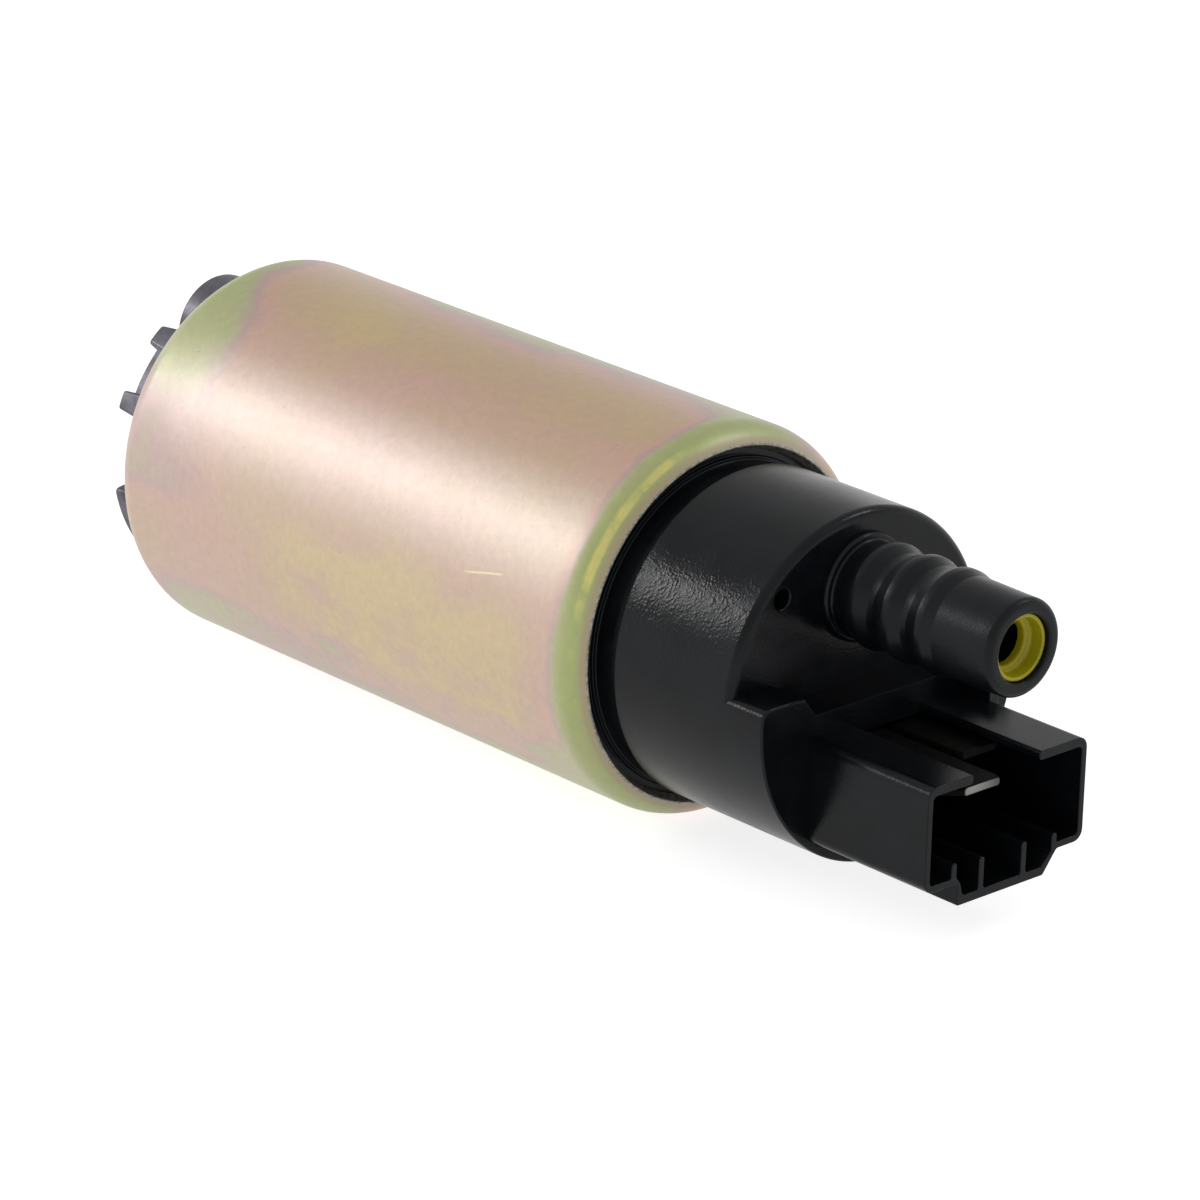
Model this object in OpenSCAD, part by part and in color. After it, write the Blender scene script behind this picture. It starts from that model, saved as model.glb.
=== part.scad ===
// In-tank fuel pump: a turbine pump and its motor crimped into one steel can.
// Millimetres. The pump lies along +X, with its outlet towards +X and its widest
// connector side down. The origin is on the ground, midway along the overall length.
// Every module is drawn upright about the pump's own axis, with z = 0 at the can's
// inlet end, x across the connector and y up, and lay() then lays it down.

/* [Can] */
// Outer diameter of the steel can
can_od = 38; // [37:0.5:42]
// Length of the can between its two rolled ends
can_len = 67.8; // [67:0.2:80]
// Thickness of the can's sheet
can_wall = 1.2; // [0.9:0.05:1.3]
// Outer radius of the roll at the outlet end
outlet_roll_r = 3.2; // [2.8:0.1:3.6]
// How far the outlet roll turns in, in degrees
outlet_roll_deg = 65; // [58:1:72]
// Outer radius of the roll at the inlet end
inlet_roll_r = 2.9; // [2.4:0.1:3.1]

/* [Outlet end cap] */
// How much smaller the cap's radius is than the can's, where it stands out
cap_inset = 2.92; // [2.7:0.02:3.2]
// Depth of the cap's flange inside the can
cap_depth = 10.78; // [10.4:0.02:12]
// How far the cap's upper face stands beyond the can
cap_reach = 17; // [12:0.5:24]
// How much narrower the cap's neck is than the cap, next to the can
neck_inset = 0.55; // [0.3:0.05:0.8]
// How far the neck stands out of the can
neck_rise = 1.7; // [1:0.1:2.4]
// Rounding of the cap's rim
cap_rim_r = 1; // [0.5:0.1:1.4]
// How far the lower half of the cap stands beyond the upper face
step_rise = 4.2; // [3:0.1:6]
// Height of the middle of the step above the pump's axis
step_mid_y = 0.05; // [-0.5:0.05:0.5]
// Height of the two ends of the step above the pump's axis
step_end_y = 2; // [1:0.1:2.6]
// Diameter of the small vent in the cap's face
vent_d = 2.2; // [1.6:0.1:2.4]

/* [Outlet nipple] */
// Distance of the nipple's axis from the cap's outer surface
nipple_inset = 7.18; // [6.5:0.02:7.6]
// Length of the nipple from the cap's upper face
nipple_len = 20.2; // [18.5:0.1:26]
// Diameter of the plain nose
nose_d = 9.24; // [9:0.02:9.4]
// Diameter over the barbs
barb_d = 10; // [9.6:0.1:10.6]
// Diameter in the valleys between the barbs
barb_root_d = 9.04; // [8.6:0.02:9.2]
// Length of one barb
barb_pitch = 4.15; // [3.6:0.05:4.4]
// Plain length between the boss and the first barb
barb_root_len = 1; // [0.6:0.1:1.4]
// Number of barbs
barb_count = 3; // [2:1:3]
// Diameter of the bore at the nipple's tip
nipple_bore_d = 6.4; // [6.1:0.1:6.6]
// Diameter of the round boss at the nipple's foot
boss_d = 10.34; // [10.1:0.02:11]
// Height of that boss
boss_rise = 0.7; // [0.4:0.1:1]

/* [Electrical socket] */
// Outer width of the socket
socket_w = 20.2; // [19.6:0.1:21]
// Length of the socket beyond the step
socket_len = 14.9; // [12:0.1:18]
// Wall of the socket
socket_wall = 0.65; // [0.55:0.05:0.8]
// How deep the socket's floor is sunk into the step
socket_sink = 2; // [1:0.1:3]
// Outer corner radius of the socket
socket_corner_r = 1.1; // [0.8:0.1:1.4]
// Distance of the socket's open top below the pump's axis
rail_drop = 2.1; // [1.8:0.1:2.4]
// Thickness of the two top rails
rail_t = 0.9; // [0.7:0.05:1]
// Height of the socket without its tray
socket_h = 10.1; // [9.6:0.1:10.4]
// Depth of the tray under the socket
tray_h = 2.15; // [1.6:0.05:2.3]
// Thickness of the keying ribs
rib_t = 0.65; // [0.5:0.05:0.8]
// Width of a terminal blade
blade_w = 6.3; // [5.6:0.1:6.4]
// Thickness of a terminal blade
blade_t = 0.8; // [0.6:0.1:0.8]
// Gap between the two blades
blade_gap = 1; // [0.8:0.1:1.6]
// How far the longer blade ends inside the mouth
blade_recess = 0.3; // [0.2:0.1:3]
// How much shorter the second blade is
blade_stagger = 6; // [4:0.5:7]

/* [Inlet cover] */
// Gap between the cover's ring and the can's opening
ring_gap = 0.6; // [0.4:0.05:1]
// How far the ring stands out of the can
ring_reach = 1.9; // [1.5:0.1:2.2]
// How far the ring's higher stretches between the small lugs stand out
web_reach = 2.7; // [2.3:0.1:3.2]
// Gap between the lugs and the can's opening
lug_gap = 0.15; // [0.1:0.01:0.25]
// How far the lugs stand out of the can
lug_reach = 4.2; // [3.6:0.1:5]
// Outer diameter of the inlet tube
inlet_d = 10.66; // [10:0.02:10.8]
// Bore of the inlet tube
inlet_bore_d = 8.2; // [7.4:0.1:8.6]
// How far the inlet tube stands out of the can
inlet_reach = 7; // [6:0.1:12]
// Distance of the inlet tube's axis from the middle of the flow channel
inlet_inset = 2.95; // [2.8:0.05:3.2]

/* [Pump stage] */
// Wall of the casing around the impeller
casing_wall = 2.45; // [2.2:0.05:2.9]
// Thickness of the impeller
impeller_t = 3.8; // [3.4:0.1:4.4]
// Number of vanes on each face
vane_count = 43; // [31:1:47]
// Thickness of one vane
vane_t = 0.5; // [0.4:0.05:0.6]
// Thickness of the cover's flange at the impeller
cover_t = 3.75; // [3.4:0.05:5]
// Thickness of the casing's disc above the impeller
casing_disc_t = 3.5; // [3.2:0.1:4.5]

/* [Motor] */
// Diameter of the shaft
shaft_d = 3.2; // [2.8:0.05:3.3]
// Thickness of the magnets
magnet_t = 4.45; // [4:0.05:4.7]
// Angle that one magnet spans
magnet_deg = 142; // [130:1:146]
// Air gap between the magnets and the lamination stack
air_gap = 0.7; // [0.5:0.05:0.9]
// How much shorter the lamination stack is than the magnets
core_margin = 6; // [5.5:0.1:9]
// Number of slots in the stack
slot_count = 8; // [6:1:10]
// Width of a tooth between two slots
tooth_w = 2; // [1.7:0.1:2.2]
// Diameter of the face commutator
commutator_d = 18.8; // [18.4:0.1:19.2]
// Diameter of a carbon brush
brush_d = 4.6; // [4.2:0.1:4.8]
// Length of a carbon brush
brush_len = 7; // [6:0.1:7.4]
// Distance of a brush from the pump's axis
brush_x = 6.6; // [6.5:0.05:6.8]

/* [Valves] */
// Diameter of the check valve's head
poppet_d = 5.6; // [5:0.1:5.7]
// Lift of the check valve
poppet_lift = 1.5; // [1:0.1:1.8]
// Diameter of the hole through the retainer
retainer_hole_d = 3.8; // [3:0.1:4]
// Diameter of the relief ball
relief_ball_d = 3; // [2.8:0.1:3.1]

/* [Clearances] */
// Gap between pieces that are assembled and stay put
fit_gap = 0.05; // [0.03:0.01:0.06]
// Radial clearance of the shaft in its bushes
shaft_gap = 0.02; // [0.02:0.01:0.05]
// Clearance of a sliding brush or valve stem
slide_gap = 0.05; // [0.04:0.01:0.08]
// Gap between the impeller's faces and the casing
impeller_gap = 0.06; // [0.04:0.01:0.1]

/* [Hidden] */
$fn = 72;

// A small overlap for cuts that must break through a face
cut = 0.2;
// How far an added form reaches into the one that it stands on
root = 1;
// Rounding of edges that only need to be broken
small_edge = 0.1;

// Can
can_r = can_od / 2;
can_ir = can_r - can_wall;
outlet_roll_c = can_len - outlet_roll_r;
outlet_roll_x = can_r - outlet_roll_r;
inlet_open_r = can_r - inlet_roll_r;
seat_r = can_ir - fit_gap;

// Pump stage
pocket_gap = 0.3;
impeller_r = seat_r - casing_wall - pocket_gap;
channel_r = 1.45;
impeller_rim = 0.5;
channel_mid = impeller_r - channel_r - impeller_rim;
channel_inset = 0.4;
channel_sweep_deg = 300;
channel_start_deg = 90;
port_deg = 8;
port_r = 1.5;
hub_r = 4.6;

// Stack of pieces inside the can, from the inlet end up
cover_z0 = can_wall + fit_gap;
cover_z1 = cover_z0 + cover_t;
pocket_h = impeller_t + 2 * impeller_gap;
pocket_z1 = cover_z1 + pocket_h;
casing_disc_z1 = pocket_z1 + casing_disc_t;
casing_skirt_h = 4.6;
skirt_wall = 1.4;
casing_z1 = casing_disc_z1 + casing_skirt_h;

// Stack from the cap down: the magnets take the length that is left
cap_z0 = can_len - cap_depth;
holder_skirt_h = 6;
holder_plate_t = 4;
holder_z1 = cap_z0;
holder_plate_z0 = holder_z1 - holder_plate_t;
holder_z0 = holder_plate_z0 - holder_skirt_h;
magnet_z0 = casing_z1;
magnet_z1 = holder_z0;
magnet_len = magnet_z1 - magnet_z0;

// Outlet end cap
cap_r = can_r - cap_inset;
neck_r = cap_r - neck_inset;
neck_z1 = can_len + neck_rise;
neck_edge = 0.3;
nipple_y = cap_r - nipple_inset;
face_z = can_len + cap_reach;
step_z = face_z + step_rise;
step_ramp = 1.6;
step_rim_share = 0.8;
step_mid_w = 18.8;
vent_inset = 1.97;
vent_deg = 135.15;
vent_x = (cap_r - vent_inset) * cos(vent_deg);
vent_y = (cap_r - vent_inset) * sin(vent_deg);
boss_edge = 0.3;
nipple_z1 = face_z + nipple_len;
nipple_r = nipple_bore_d / 2;
nose_edge = 0.45;
boss_z1 = face_z + boss_rise;
barb_z0 = boss_z1 + barb_root_len;
barb_z1 = barb_z0 + barb_count * barb_pitch;
barb_rise_share = 1 / 3;
barb_steps = 5;
passage_r = 2.2;
seat_depth = 13.5;
seat_z = nipple_z1 - seat_depth;

// Electrical socket
socket_z0 = step_z - socket_sink;
mouth_z = step_z + socket_len;
rail_y = -rail_drop;
floor_y = rail_y - socket_h;
tray_y = floor_y - tray_h;
tray_floor_t = 0.85;
tray_left = -5.9;
tray_right = 5.1;
tray_slant = 1.7;
tray_inset = 0.3;
notch_left = -4.5;
notch_right = 3.9;
side_lug_t = 1.2;
side_lug_len = 3.8;
rib_xs = [-6.4, -2.9, 2.5, 6.4];
rib_heights = [1.45, 1.15, 1.15, 0.95];
blade_drop = 0.8;
blade_y = rail_y - rail_t - blade_drop;
blade_tip = 0.6;
blade_z1 = mouth_z - blade_recess;
foot_t = 0.8;
foot_height = 8.6;
foot_z0 = cap_z0 + foot_height;
foot_d = 5.6;
lead_hole_r = 0.75;
lead_pocket = 3.2;

// Inlet cover
inlet_y = channel_mid - inlet_inset;
ring_r = inlet_open_r - ring_gap;
lug_r = inlet_open_r - lug_gap;
ring_wall = 1.9;
ring_ir = ring_r - ring_wall;
ring_edge = 0.4;
ring_gap_deg = 30;
floor_overlap = 0.4;
floor_r = ring_ir + floor_overlap;
web_inset = 0.15;
lug_inset = 0.3;
flange_edge = 0.2;
cover_floor = 0.3;
cover_boss_r = 3.6;
cover_boss_reach = 1.6;
inlet_edge = 0.35;
vapour_r = 0.6;
vapour_inset = 0.3;
pad_r = 2.35;
pad_t = 1;
pad_depth = 3;
pad_z0 = cover_z1 - pad_depth;
lug_edge = 0.6;
// Centre angle and width of each lug and of each higher stretch, in degrees
lug_degs = [[130.75, 11], [157.5, 9.5], [205, 30], [49.25, 11], [22.5, 9.5], [335, 30]];
web_degs = [[144.75, 24.5], [35.25, 24.5]];

// Bushes and the hub of the casing
hub_drop = 1;
hub_z1 = casing_z1 - hub_drop;
bush_r = 3;
bush_lip = 1.1;
bush_recess = 0.3;
bush_wall = 1.3;
shaft_pass = 0.3;
flat_x = 1.15;
flat_extra = 0.4;

// Motor
shaft_r = shaft_d / 2;
shaft_z0 = pad_z0 + pad_t + fit_gap;
shaft_drop = 0.7;
shaft_z1 = holder_z1 - shaft_drop;
shaft_edge = 0.3;
magnet_r = seat_r - magnet_t;
core_r = magnet_r - air_gap;
core_len = magnet_len - core_margin;
core_drop = 0.5;
core_z0 = magnet_z0 + (magnet_len - core_len) / 2 - core_drop;
core_z1 = core_z0 + core_len;
slot_mouth = 1.6;
slot_lip = 0.8;
slot_root_y = 5.6;
slot_top_y = core_r * cos(180 / slot_count) - slot_lip;
winding_gap = 0.15;
end_turn_h = 2.7;
end_turn_r0 = 4.6;
end_turn_inset = 1.4;
end_turn_r1 = core_r - end_turn_inset;
end_turn_round = 1.1;
slot_join = 0.5;
commutator_r = commutator_d / 2;
commutator_drop = 1.5;
commutator_z1 = holder_plate_z0 - commutator_drop;
commutator_t = 2.7;
commutator_slit = 0.4;
commutator_slit_h = 1.6;
hook_w = 1.2;
hook_t = 0.8;
hook_reach = 1.2;
barrel_r = 4.2;
barrel_gap = 0.3;
brush_z0 = commutator_z1 + fit_gap;
brush_z1 = brush_z0 + brush_len;
brush_r = brush_d / 2;
brush_tube_wall = 1;
brush_edge = 0.25;
brush_spring_inset = 0.2;
lead_r = 0.4;
lead_end = 0.3;
lead_z1 = foot_z0 + foot_t + lead_end;
brush_hub_gap = 0.7;
brush_hub_z0 = commutator_z1 + brush_hub_gap;
clip_t = 0.5;
clip_leg = 2.6;
clip_edge = 0.2;
clip_inset = 2;
clip_play_deg = 0.2;
clip_corner_deg = 0.5;
magnet_chamfer = 1;

// Chokes
choke_inset = 4.52;
choke_deg = -38.86;
choke_x = (seat_r - choke_inset) * cos(choke_deg);
choke_y = (seat_r - choke_inset) * sin(choke_deg);
choke_well_r = 2.5;
choke_well_h = 9;
choke_core_r = 1.5;
choke_coil_wall = 0.8;
choke_end = 0.7;

// Cap seal ring
seal_r = 0.6;
seal_height = 3.2;
seal_z = cap_z0 + seal_height;
seal_mid_r = can_ir - seal_r;
groove_w = 1.6;

// Check valve in the nipple
poppet_t = 1.5;
poppet_edge = 0.3;
stem_r = 0.9;
stem_edge = 0.2;
stem_drop = 0.4;
check_spring_solid = 2.75;
check_spring_gap = 0.3;
guide_z0 = seat_z + fit_gap + poppet_t + poppet_lift + check_spring_solid;
guide_t = 1.7;
guide_wall = 0.7;
guide_arm_t = 0.8;
guide_arm_root = 0.1;
retainer_r = nipple_r - fit_gap;
retainer_lip = 0.4;
retainer_drop = 0.5;
retainer_z1 = nipple_z1 - retainer_drop;
retainer_cup = 1.5;
retainer_floor_t = 1;
retainer_leg_r = 2.1;
spring_wall = 0.6;
stem_z1 = guide_z0 + guide_t - stem_drop;

// Relief valve behind the vent
relief_seat_r = 2.3;
relief_seat_t = 1.5;
relief_hole_r = 0.9;
relief_well_gap = 0.3;
relief_well_r = relief_ball_d / 2 + relief_well_gap;
relief_well_h = 9;
relief_well_z1 = cap_z0 + relief_well_h;
relief_ball_r = relief_ball_d / 2;
relief_ball_rise = sqrt(pow(relief_ball_r, 2) - pow(relief_hole_r, 2));
relief_ball_z = cap_z0 + relief_seat_t + relief_ball_rise + fit_gap;
relief_spring_inset = 0.1;
relief_spring_r = relief_ball_r - relief_spring_inset;
relief_spring_wall = 0.5;

// Ground frame
pump_mid = (nipple_z1 - inlet_reach) / 2;

// Lays the upright pump down along +X with the can on the ground
module lay() {
    translate([-pump_mid, 0, can_r]) rotate([90, 0, 90]) children();
}

// Half section of a round bar with rounded ends, drawn as radius across and length up
module bar_section(r, z0, z1, round0, round1) {
    translate([0, z0 + round0]) square([r, z1 - z0 - round0 - round1]);
    square_between(0, r - round0, z0, z0 + round0);
    square_between(0, r - round1, z1 - round1, z1);
    translate([r - round0, z0 + round0]) circle(r = round0);
    translate([r - round1, z1 - round1]) circle(r = round1);
}

module square_between(x0, x1, y0, y1) {
    translate([x0, y0]) square([x1 - x0, y1 - y0]);
}

// Half section of a tube
module tube_section(r_in, r_out, z0, z1) {
    square_between(r_in, r_out, z0, z1);
}

module tube(r_in, r_out, z0, z1) {
    difference() {
        translate([0, 0, z0]) cylinder(r = r_out, h = z1 - z0);
        translate([0, 0, z0 - cut]) cylinder(r = r_in, h = z1 - z0 + 2 * cut);
    }
}

module rod(r, z0, z1) {
    translate([0, 0, z0]) cylinder(r = r, h = z1 - z0);
}

// Rectangle with four round corners
module round_rect(x0, x1, y0, y1, r) {
    square_between(x0 + r, x1 - r, y0, y1);
    square_between(x0, x1, y0 + r, y1 - r);
    for (x = [x0 + r, x1 - r], y = [y0 + r, y1 - r]) {
        translate([x, y]) circle(r = r, $fn = 24);
    }
}

// Steel can with both ends rolled in over the pieces it holds
module steel_can() {
    color("#c9a98f") lay() rotate_extrude() can_section();
}

module can_section() {
    far = can_od;
    difference() {
        bar_section(can_r, 0, can_len, inlet_roll_r, outlet_roll_r);
        bar_section(can_ir, can_wall, can_len - can_wall,
            inlet_roll_r - can_wall, outlet_roll_r - can_wall);
        square_between(-cut, inlet_open_r, -cut, inlet_roll_r);
        translate([outlet_roll_x, outlet_roll_c])
            polygon([[0, 0], far * [cos(outlet_roll_deg), sin(outlet_roll_deg)], [-far, far],
                [-far, 0]]);
    }
}

// Die-cast inlet cover with its ring, lugs and inlet tube
module inlet_cover() {
    color("#6f6d78") lay() difference() {
        union() {
            rotate_extrude() cover_section();
            arc_sweep(channel_start_deg + 180, 360 - ring_gap_deg)
                ring_section(ring_reach, ring_ir, ring_r);
            for (web = web_degs) {
                arc_sweep(web[0], web[1])
                    ring_section(web_reach, ring_ir + web_inset, lug_r - web_inset);
            }
            for (lug = lug_degs) {
                arc_sweep(lug[0], lug[1]) lug_section();
            }
            translate([0, inlet_y, 0]) rotate_extrude()
                bar_section(inlet_d / 2, -inlet_reach, cover_z0 + root, inlet_edge, small_edge);
        }
        translate([0, inlet_y, 0]) rod(inlet_bore_d / 2, -inlet_reach - cut, cover_z1 + cut);
        rod(pad_r + fit_gap, pad_z0, cover_z1 + cut);
        rotate([0, 0, channel_start_deg]) flow_channel(cover_z1);
        rotate([0, 0, channel_start_deg + channel_sweep_deg / 2]) translate([channel_mid - vapour_inset, 0, 0])
            rod(vapour_r, -ring_reach, cover_z1 + cut);
    }
}

module cover_section() {
    bar_section(seat_r, cover_z0, cover_z1, inlet_roll_r - can_wall - fit_gap, flange_edge);
    square_between(0, floor_r, -cover_floor, cover_z0 + root);
    square_between(0, cover_boss_r, -cover_boss_reach, 0);
}

module ring_section(reach, r0, r1) {
    polygon([[r0, cover_z0 + root], [r0, -reach], [r1 - ring_edge, -reach], [r1, -reach + ring_edge],
        [r1, cover_z0 + root]]);
}

// Sweeps a half section over an arc about the pump's axis
module arc_sweep(mid_deg, deg) {
    rotate([0, 0, mid_deg - deg / 2]) rotate_extrude(angle = deg) children();
}

module lug_section() {
    r0 = ring_ir + lug_inset;
    r1 = lug_r;
    polygon([[r0, cover_z0 + root], [r0, -lug_reach], [r1 - lug_edge, -lug_reach],
        [r1, -lug_reach + lug_edge], [r1, cover_z0 + root]]);
}

// Half-round channel that runs beside the vanes, centred on the face at z
module flow_channel(z) {
    rotate_extrude(angle = channel_sweep_deg) translate([channel_mid, z])
        circle(r = channel_r - channel_inset, $fn = 32);
}

// Hard pad that carries the shaft's lower end
module thrust_pad() {
    color("#d8d8d2") lay() rod(pad_r, pad_z0, pad_z0 + pad_t);
}

// Casing that closes the impeller's pocket and holds the lower bush
module pump_casing() {
    color("#8d8f93") lay() difference() {
        rotate_extrude() casing_section();
        rotate([0, 0, channel_start_deg]) flow_channel(pocket_z1);
        rotate([0, 0, channel_start_deg + channel_sweep_deg - port_deg]) translate([channel_mid, 0, 0])
            rod(port_r, pocket_z1 - cut, casing_disc_z1 + cut);
    }
}

module casing_section() {
    bore_r = bush_r + fit_gap;
    tube_section(impeller_r + pocket_gap, seat_r, cover_z1, casing_disc_z1);
    tube_section(shaft_r + shaft_pass, seat_r, pocket_z1, pocket_z1 + bush_lip);
    tube_section(bore_r, seat_r, pocket_z1 + bush_lip, casing_disc_z1);
    tube_section(bore_r, hub_r, pocket_z1, hub_z1);
    tube_section(seat_r - skirt_wall, seat_r, casing_disc_z1, casing_z1);
}

// Sintered bush below the motor
module lower_bush() {
    z0 = pocket_z1 + bush_lip + fit_gap;
    color("#9a6b3c") lay() tube(shaft_r + shaft_gap, bush_r, z0, hub_z1 - bush_recess);
}

// Side-channel impeller with vanes on both faces
module impeller() {
    z0 = cover_z1 + impeller_gap;
    z1 = z0 + impeller_t;
    color("#3b3a38") lay() difference() {
        rod(impeller_r, z0, z1);
        for (z = [z0, z1]) {
            vane_pockets(z);
        }
        difference() {
            rod(shaft_r + fit_gap, z0 - cut, z1 + cut);
            translate([flat_x + fit_gap, -shaft_d, z0 - 2 * cut])
                cube([shaft_d, 2 * shaft_d, impeller_t + 4 * cut]);
        }
    }
}

module vane_pockets(z) {
    reach = 4 * channel_r;
    difference() {
        translate([0, 0, z]) rotate_extrude() translate([channel_mid, 0])
            circle(r = channel_r, $fn = 32);
        for (i = [0 : vane_count - 1]) {
            rotate([0, 0, i * 360 / vane_count])
                translate([channel_mid - reach / 2, -vane_t / 2, z - reach / 2])
                    cube([reach, vane_t, reach]);
        }
    }
}

// Shaft with the flat that drives the impeller
module armature_shaft() {
    flat_z0 = cover_z1 - flat_extra;
    flat_z1 = pocket_z1 + flat_extra;
    color("#c4c6c9") lay() difference() {
        rotate_extrude() polygon([[0, shaft_z0], [shaft_r - shaft_edge, shaft_z0],
            [shaft_r, shaft_z0 + shaft_edge], [shaft_r, shaft_z1 - shaft_edge],
            [shaft_r - shaft_edge, shaft_z1], [0, shaft_z1]]);
        translate([flat_x, -shaft_d, flat_z0]) cube([shaft_d, 2 * shaft_d, flat_z1 - flat_z0]);
    }
}

// Half the width of a winding slot at height y, between two teeth of even width
function slot_half(y) = y * tan(180 / slot_count) - tooth_w / 2 / cos(180 / slot_count);

// Outline of one winding slot, drawn along +y and shrunk by gap
module slot_outline(gap) {
    low = slot_half(slot_root_y) - gap;
    high = slot_half(slot_top_y) - gap;
    polygon([[-low, slot_root_y + gap], [low, slot_root_y + gap], [high, slot_top_y - gap],
        [-high, slot_top_y - gap]]);
}

// Stack of laminations with open slots
module armature_core() {
    color("#77797d") lay() translate([0, 0, core_z0]) linear_extrude(core_len) difference() {
        circle(r = core_r);
        circle(r = shaft_r + fit_gap);
        for (i = [0 : slot_count - 1]) {
            rotate(i * 360 / slot_count) {
                slot_outline(0);
                square_between(-slot_mouth / 2, slot_mouth / 2, slot_top_y - cut, core_r + cut);
            }
        }
    }
}

// Copper winding: the bars in the slots and the turns over both ends of the stack
module armature_winding() {
    color("#a8592b") lay() union() {
        for (i = [0 : slot_count - 1]) {
            rotate([0, 0, i * 360 / slot_count]) translate([0, 0, core_z0 - slot_join])
                linear_extrude(core_len + 2 * slot_join) slot_outline(winding_gap);
        }
        rotate_extrude() end_turn_section(core_z0 - end_turn_h, core_z0 - winding_gap);
        rotate_extrude() end_turn_section(core_z1 + winding_gap, core_z1 + end_turn_h);
    }
}

module end_turn_section(z0, z1) {
    round_rect(end_turn_r0, end_turn_r1, z0, z1, end_turn_round);
}

// Face commutator with its slits and hooks
module commutator() {
    z0 = commutator_z1 - commutator_t;
    color("#5b4a3f") lay() difference() {
        union() {
            rod(commutator_r, z0, commutator_z1);
            rod(barrel_r, core_z1 + end_turn_h + barrel_gap, z0 + cut);
            for (i = [0 : slot_count - 1]) {
                rotate([0, 0, (i + 0.5) * 360 / slot_count])
                    translate([commutator_r - root, -hook_w / 2, z0])
                        cube([root + hook_reach, hook_w, hook_t]);
            }
        }
        rod(shaft_r + fit_gap, core_z1, commutator_z1 + cut);
        for (i = [0 : slot_count - 1]) {
            rotate([0, 0, i * 360 / slot_count])
                translate([barrel_r, -commutator_slit / 2, commutator_z1 - commutator_slit_h])
                    cube([commutator_r, commutator_slit, commutator_slit_h + cut]);
        }
    }
}

// One arc magnet, centred on +x
module magnet() {
    color("#3f4145") lay() translate([0, 0, magnet_z0]) linear_extrude(magnet_len) difference() {
        arc_band(magnet_r, seat_r, magnet_deg);
        for (side = [-1, 1]) {
            rotate(side * magnet_deg / 2) translate([magnet_r, 0]) rotate(45)
                square(magnet_chamfer, center = true);
        }
    }
}

// Band between two radii that spans an angle, centred on +x
module arc_band(r_in, r_out, deg) {
    far = 2 * r_out;
    half = deg / 2;
    difference() {
        circle(r = r_out);
        circle(r = r_in);
        polygon(concat([[0, 0]],
            [for (i = [0 : 4]) let (a = half + i * (360 - deg) / 4) far * [cos(a), sin(a)]]));
    }
}

module magnet_right() {
    magnet();
}

module magnet_left() {
    flip_over() magnet();
}

// Turns a laid piece half a turn about the pump's axis
module flip_over() {
    translate([0, 0, can_r]) rotate([180, 0, 0]) translate([0, 0, -can_r]) children();
}

// Spring clip that presses the two magnets apart, centred on +y
module magnet_clip() {
    gap_deg = 180 - magnet_deg;
    leg_deg = gap_deg / 2 - clip_play_deg;
    clip_len = magnet_len - 2 * clip_inset;
    color("#a9b0b8") lay() translate([0, 0, magnet_z0 + clip_inset]) linear_extrude(clip_len) rotate(90) {
        arc_band(seat_r - clip_t, seat_r, 2 * (leg_deg - clip_corner_deg));
        for (side = [-1, 1]) {
            rotate(side * leg_deg) translate([seat_r - clip_leg, side > 0 ? -clip_t : 0])
                square([clip_leg - clip_edge, clip_t]);
        }
    }
}

module magnet_clip_top() {
    magnet_clip();
}

module magnet_clip_bottom() {
    flip_over() magnet_clip();
}

// Moulded holder that carries the brushes and the upper bush
module brush_holder() {
    color("#25262a") lay() difference() {
        union() {
            tube(seat_r - skirt_wall, seat_r, holder_z0, holder_z1);
            rod(seat_r, holder_plate_z0, holder_z1);
            rod(bush_r + bush_wall, brush_hub_z0, holder_z1);
            for (side = [-1, 1]) {
                translate([side * brush_x, 0, 0]) rod(brush_r + brush_tube_wall, brush_hub_z0, holder_z1);
            }
        }
        rod(bush_r + fit_gap, brush_hub_z0 - cut, holder_z1 + cut);
        for (side = [-1, 1]) {
            translate([side * brush_x, 0, 0]) rod(brush_r + slide_gap, brush_hub_z0 - cut, holder_z1 + cut);
        }
        translate([0, nipple_y, 0]) rod(passage_r, holder_plate_z0 - cut, holder_z1 + cut);
        translate([vent_x, vent_y, 0]) rod(relief_hole_r, holder_plate_z0 - cut, holder_z1 + cut);
    }
}

// Sintered bush above the commutator
module upper_bush() {
    color("#9a6b3c") lay() tube(shaft_r + shaft_gap, bush_r, brush_hub_z0 + bush_recess, holder_z1);
}

// Round carbon brush, spring and lead of one side
module brush(side) {
    color("#2e2e30") lay() translate([side * brush_x, 0, 0]) rotate_extrude()
        polygon([[0, brush_z0], [brush_r - brush_edge, brush_z0], [brush_r, brush_z0 + brush_edge],
            [brush_r, brush_z1 - brush_edge], [brush_r - brush_edge, brush_z1], [0, brush_z1]]);
}

module brush_spring(side) {
    r = brush_r - brush_spring_inset;
    color("#b9bcc0") lay() translate([side * brush_x, 0, 0])
        tube(r - spring_wall, r, brush_z1, foot_z0 - fit_gap);
}

module brush_lead(side) {
    color("#b4713f") lay() translate([side * brush_x, 0, 0]) rod(lead_r, brush_z1, lead_z1);
}

module brush_left() {
    brush(-1);
}

module brush_right() {
    brush(1);
}

module brush_spring_left() {
    brush_spring(-1);
}

module brush_spring_right() {
    brush_spring(1);
}

module brush_lead_left() {
    brush_lead(-1);
}

module brush_lead_right() {
    brush_lead(1);
}

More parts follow.
